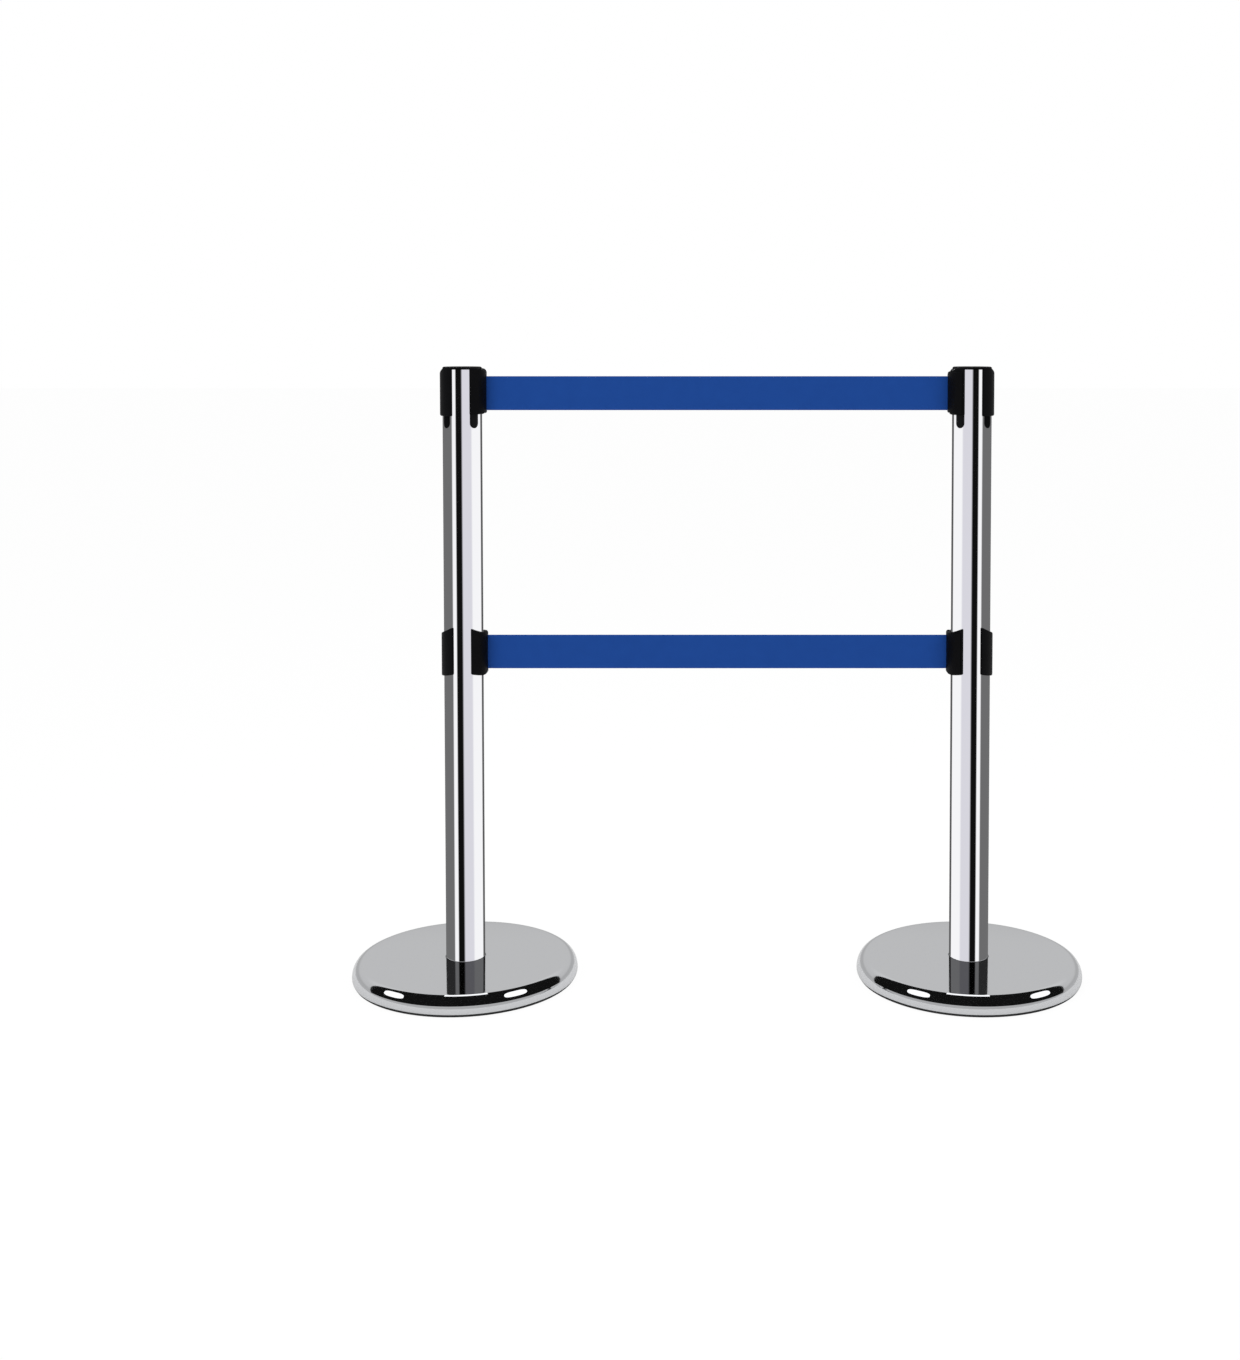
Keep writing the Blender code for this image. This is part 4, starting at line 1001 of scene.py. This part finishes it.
def painted_reflection_material(side):
    """A painted reflection round a post: stripes by direction, fainter at a second reflection."""
    material, tree = stage_material(f"{side}_painted_post_reflection")
    around = around_post(tree, side)[0]
    front = 0.5 - CAMERA_TURN / math.tau
    turned = math_node(tree, "MULTIPLY_ADD", around, 1 / math.tau, front)
    share = math_node(tree, "FRACT", math_node(tree, "ADD", turned, 1.0))
    colour = painted_reflection_ramp(tree, share)
    second = math_node(tree, "GREATER_THAN", light_path(tree)["Glossy Depth"], 1.5)
    drop = (SECOND_BOUNCE - 1) / POST_GREY
    strength = math_node(tree, "MULTIPLY_ADD", second, drop, 1 / POST_GREY)
    glow_where(tree, near_and_facing(tree, SHELL_REACH), colour, strength)
    return material


def only_in_reflections(obj, side):
    """Hides a panel of painted reflection from all but glossy rays, and moves it with its post."""
    obj.visible_camera = False
    obj.visible_diffuse = False
    obj.visible_shadow = False
    obj.visible_transmission = False
    obj.visible_volume_scatter = False
    bpy.context.view_layer.update()
    place = obj.matrix_world.copy()
    obj.parent = BODY[side]
    obj.matrix_parent_inverse = BODY[side].matrix_world.inverted()
    obj.matrix_basis = place


def make_painted_reflection_panel(name, side, profile, material, segments):
    """A surface turned round a post's axis that paints a reflection, facing the right-hand side of its
    profile's direction.
    """
    work = bmesh.new()
    rings = rings_round(work, profile, segments)
    for index in range(segments):
        here, after = rings[index], rings[(index + 1) % segments]
        for j in range(len(profile) - 1):
            work.faces.new((after[j], after[j + 1], here[j + 1], here[j]))
    # The mesh of a painted reflection, named after its part
    mesh = bpy.data.meshes.new(f"{side}_studio_{name}")
    work.to_mesh(mesh)
    work.free()
    mesh.materials.append(material)
    panel = bpy.data.objects.new(mesh.name, mesh)
    bpy.context.scene.collection.objects.link(panel)
    panel.location = (POST_X[side], 0, 0)
    only_in_reflections(panel, side)


def make_painted_reflection_shell(side):
    """An open cylinder round a post, seen only from inside, that paints the post's reflection."""
    profile = [(SHELL_RADIUS, SHELL_TOP), (SHELL_RADIUS, SHELL_FOOT)]
    make_painted_reflection_panel("shell", side, profile, painted_reflection_material(side), SHELL_SEGMENTS)


def in_painted_highlight(tree, around, height):
    """One inside the rounded windows of painted highlight that are spaced round the hood."""
    turned = math_node(tree, "SUBTRACT", around, math.radians(PAINTED_HIGHLIGHT_TURN))
    nearest = math_node(tree, "PINGPONG", turned, math.radians(PAINTED_HIGHLIGHT_SPACING) / 2)
    sides = math_node(tree, "DIVIDE", nearest, math.radians(PAINTED_HIGHLIGHT_HALF_WIDTH))
    rise = math_node(tree, "SUBTRACT", height, (PAINTED_HIGHLIGHT_LOW + PAINTED_HIGHLIGHT_HIGH) / 2)
    rise = math_node(tree, "DIVIDE", rise, (PAINTED_HIGHLIGHT_HIGH - PAINTED_HIGHLIGHT_LOW) / 2)
    rise = math_node(tree, "ABSOLUTE", rise)
    parts = [math_node(tree, "POWER", part, PAINTED_HIGHLIGHT_POWER) for part in (sides, rise)]
    return math_node(tree, "LESS_THAN", math_node(tree, "ADD", *parts), 1.0)


def in_painted_slit_highlight(tree, around, height):
    """One in the hood's upper part, near the camera's line, where a highlight is painted."""
    beside = math_node(tree, "ABSOLUTE", math_node(tree, "SUBTRACT", around, CAMERA_TURN))
    near = math_node(tree, "LESS_THAN", beside, math.radians(SLIT_HALF_WIDTH))
    above = math_node(tree, "GREATER_THAN", height, PAINTED_SLIT_HEIGHT)
    return math_node(tree, "MULTIPLY", near, above)


def painted_hood_material(side):
    """A painted reflection: black where it is near, with painted highlights in its windows and its
    slit.
    """
    material, tree = stage_material(f"{side}_studio_hood")
    place = around_post(tree, side)
    lit = math_node(tree, "MAXIMUM", in_painted_highlight(tree, *place), in_painted_slit_highlight(tree, *place))
    strength = math_node(tree, "MULTIPLY_ADD", lit, HOOD_LIGHT, HOOD_GREY)
    glow_where(tree, near_and_facing(tree, HOOD_REACH), (1, 1, 1, 1), strength)
    return material


def cover_size(side):
    """The radius and the top of a base's shell."""
    low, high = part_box(f"{side}_base_cover")
    return (high.x - low.x) / 2, high.z


def make_painted_hood(side):
    """A dark surface that follows a base's shoulder a little above it, and paints a dark band and
    highlights into its reflection.
    """
    radius, top = cover_size(side)
    angles = [HOOD_END * step / HOOD_STEPS for step in range(HOOD_STEPS + 1)]
    profile = [shoulder_point(radius, top, angle, HOOD_CLEAR) for angle in angles]
    profile.insert(0, (profile[0][0] - HOOD_INWARD, profile[0][1]))
    make_painted_reflection_panel("hood", side, profile, painted_hood_material(side), HOOD_SEGMENTS)


def make_painted_contact_shade(side):
    """A painted shadow: a dark line in the reflection of a base's rim, from a dark ring on the floor
    under it.
    """
    material, tree = stage_material(f"{side}_studio_contact")
    glow_where(tree, near_and_facing(tree, CONTACT_REACH), (1, 1, 1, 1), PAINTED_CONTACT_SHADE_GREY)
    radius = cover_size(side)[0]
    profile = [(radius + CONTACT_OUT, CONTACT_HEIGHT), (radius - CONTACT_IN, CONTACT_HEIGHT)]
    make_painted_reflection_panel("contact", side, profile, material, HOOD_SEGMENTS)


def by_ray(tree, seen, reflected):
    """One value for camera rays, another for glossy rays, and none for the rest."""
    paths = light_path(tree)
    glossy = math_node(tree, "MULTIPLY", paths["Is Glossy Ray"], reflected)
    return math_node(tree, "MULTIPLY_ADD", paths["Is Camera Ray"], seen, glossy)


def make_floor():
    """A plain pale floor: near white to the camera, and still darkened by the object's shadow."""
    material, tree = stage_material("pale_floor")
    matt = node(tree, "ShaderNodeBsdfDiffuse", Color=FLOOR_COLOUR)
    glow = node(tree, "ShaderNodeEmission", Color=(1, 1, 1, 1))
    tree.links.new(by_ray(tree, FLOOR_SEEN, FLOOR_REFLECTED), glow.inputs["Strength"])
    share = by_ray(tree, FLOOR_SHARE, FLOOR_REFLECTED_SHARE)
    finish_tree(tree, mix_shaders(tree, share, matt, glow))
    mesh = bpy.data.meshes.new("floor")
    corners = [(x * FLOOR_REACH, y * FLOOR_REACH, 0) for x, y in ((-1, -1), (1, -1), (1, 1), (-1, 1))]
    mesh.from_pydata(corners, [], [(0, 1, 2, 3)])
    mesh.materials.append(material)
    floor = bpy.data.objects.new("floor", mesh)
    floor.location.z = -FLOOR_DROP
    bpy.context.scene.collection.objects.link(floor)


def make_world():
    """White to the camera, soft white for lighting, and a studio for reflections."""
    world = bpy.data.worlds.new("studio")
    bpy.context.scene.world = world
    world.use_nodes = True
    tree = world.node_tree
    tree.nodes.clear()
    split = node(tree, "ShaderNodeSeparateXYZ")
    tree.links.new(node(tree, "ShaderNodeTexCoord").outputs["Generated"], split.inputs[0])
    height = math_node(tree, "ARCSINE", split.outputs["Z"])
    rise = math_node(tree, "MULTIPLY_ADD", height, 1 / math.pi, 0.5)
    greys = value_ramp(tree, rise, [(place, (grey,) * 3) for place, grey in WORLD_GREYS])
    studio = node(tree, "ShaderNodeBackground", Strength=1.0)
    tree.links.new(greys, studio.inputs["Color"])
    plain = node(tree, "ShaderNodeBackground", Color=(1, 1, 1, 1), Strength=1.0)
    soft = node(tree, "ShaderNodeBackground", Color=(1, 1, 1, 1), Strength=SOFT_LIGHT)
    paths = light_path(tree)
    unseen = mix_shaders(tree, paths["Is Glossy Ray"], soft, studio)
    everything = mix_shaders(tree, paths["Is Camera Ray"], unseen, plain)
    finish_tree(tree, everything, "ShaderNodeOutputWorld")


def make_lamp(name, place, aim, size, power):
    """A soft rectangular lamp that neither the camera nor a reflection shows."""
    data = bpy.data.lights.new(name, "AREA")
    data.shape = "RECTANGLE"
    data.size, data.size_y = size
    data.energy = power
    lamp = bpy.data.objects.new(name, data)
    bpy.context.scene.collection.objects.link(lamp)
    lamp.location = place
    lamp.rotation_euler = (Vector(aim) - Vector(place)).to_track_quat("-Z", "Y").to_euler()
    lamp.visible_glossy = False
    lamp.visible_camera = False


def make_camera():
    """A near camera above the lids that looks down on the bases."""
    data = bpy.data.cameras.new("camera")
    data.sensor_width = SENSOR_MM
    data.lens = LENS_MM
    data.shift_x, data.shift_y = CAMERA_SHIFT
    camera = bpy.data.objects.new("camera", data)
    bpy.context.scene.collection.objects.link(camera)
    camera.location = CAMERA_PLACE
    camera.rotation_euler = (math.radians(90 - CAMERA_PITCH), 0, 0)
    bpy.context.scene.camera = camera


for side in SIDES:
    make_painted_reflection_shell(side)
    make_painted_hood(side)
    make_painted_contact_shade(side)
make_floor()
make_world()
for name, settings in LAMPS.items():
    make_lamp(name, *settings)
make_camera()
bpy.context.scene.view_settings.view_transform = "Standard"
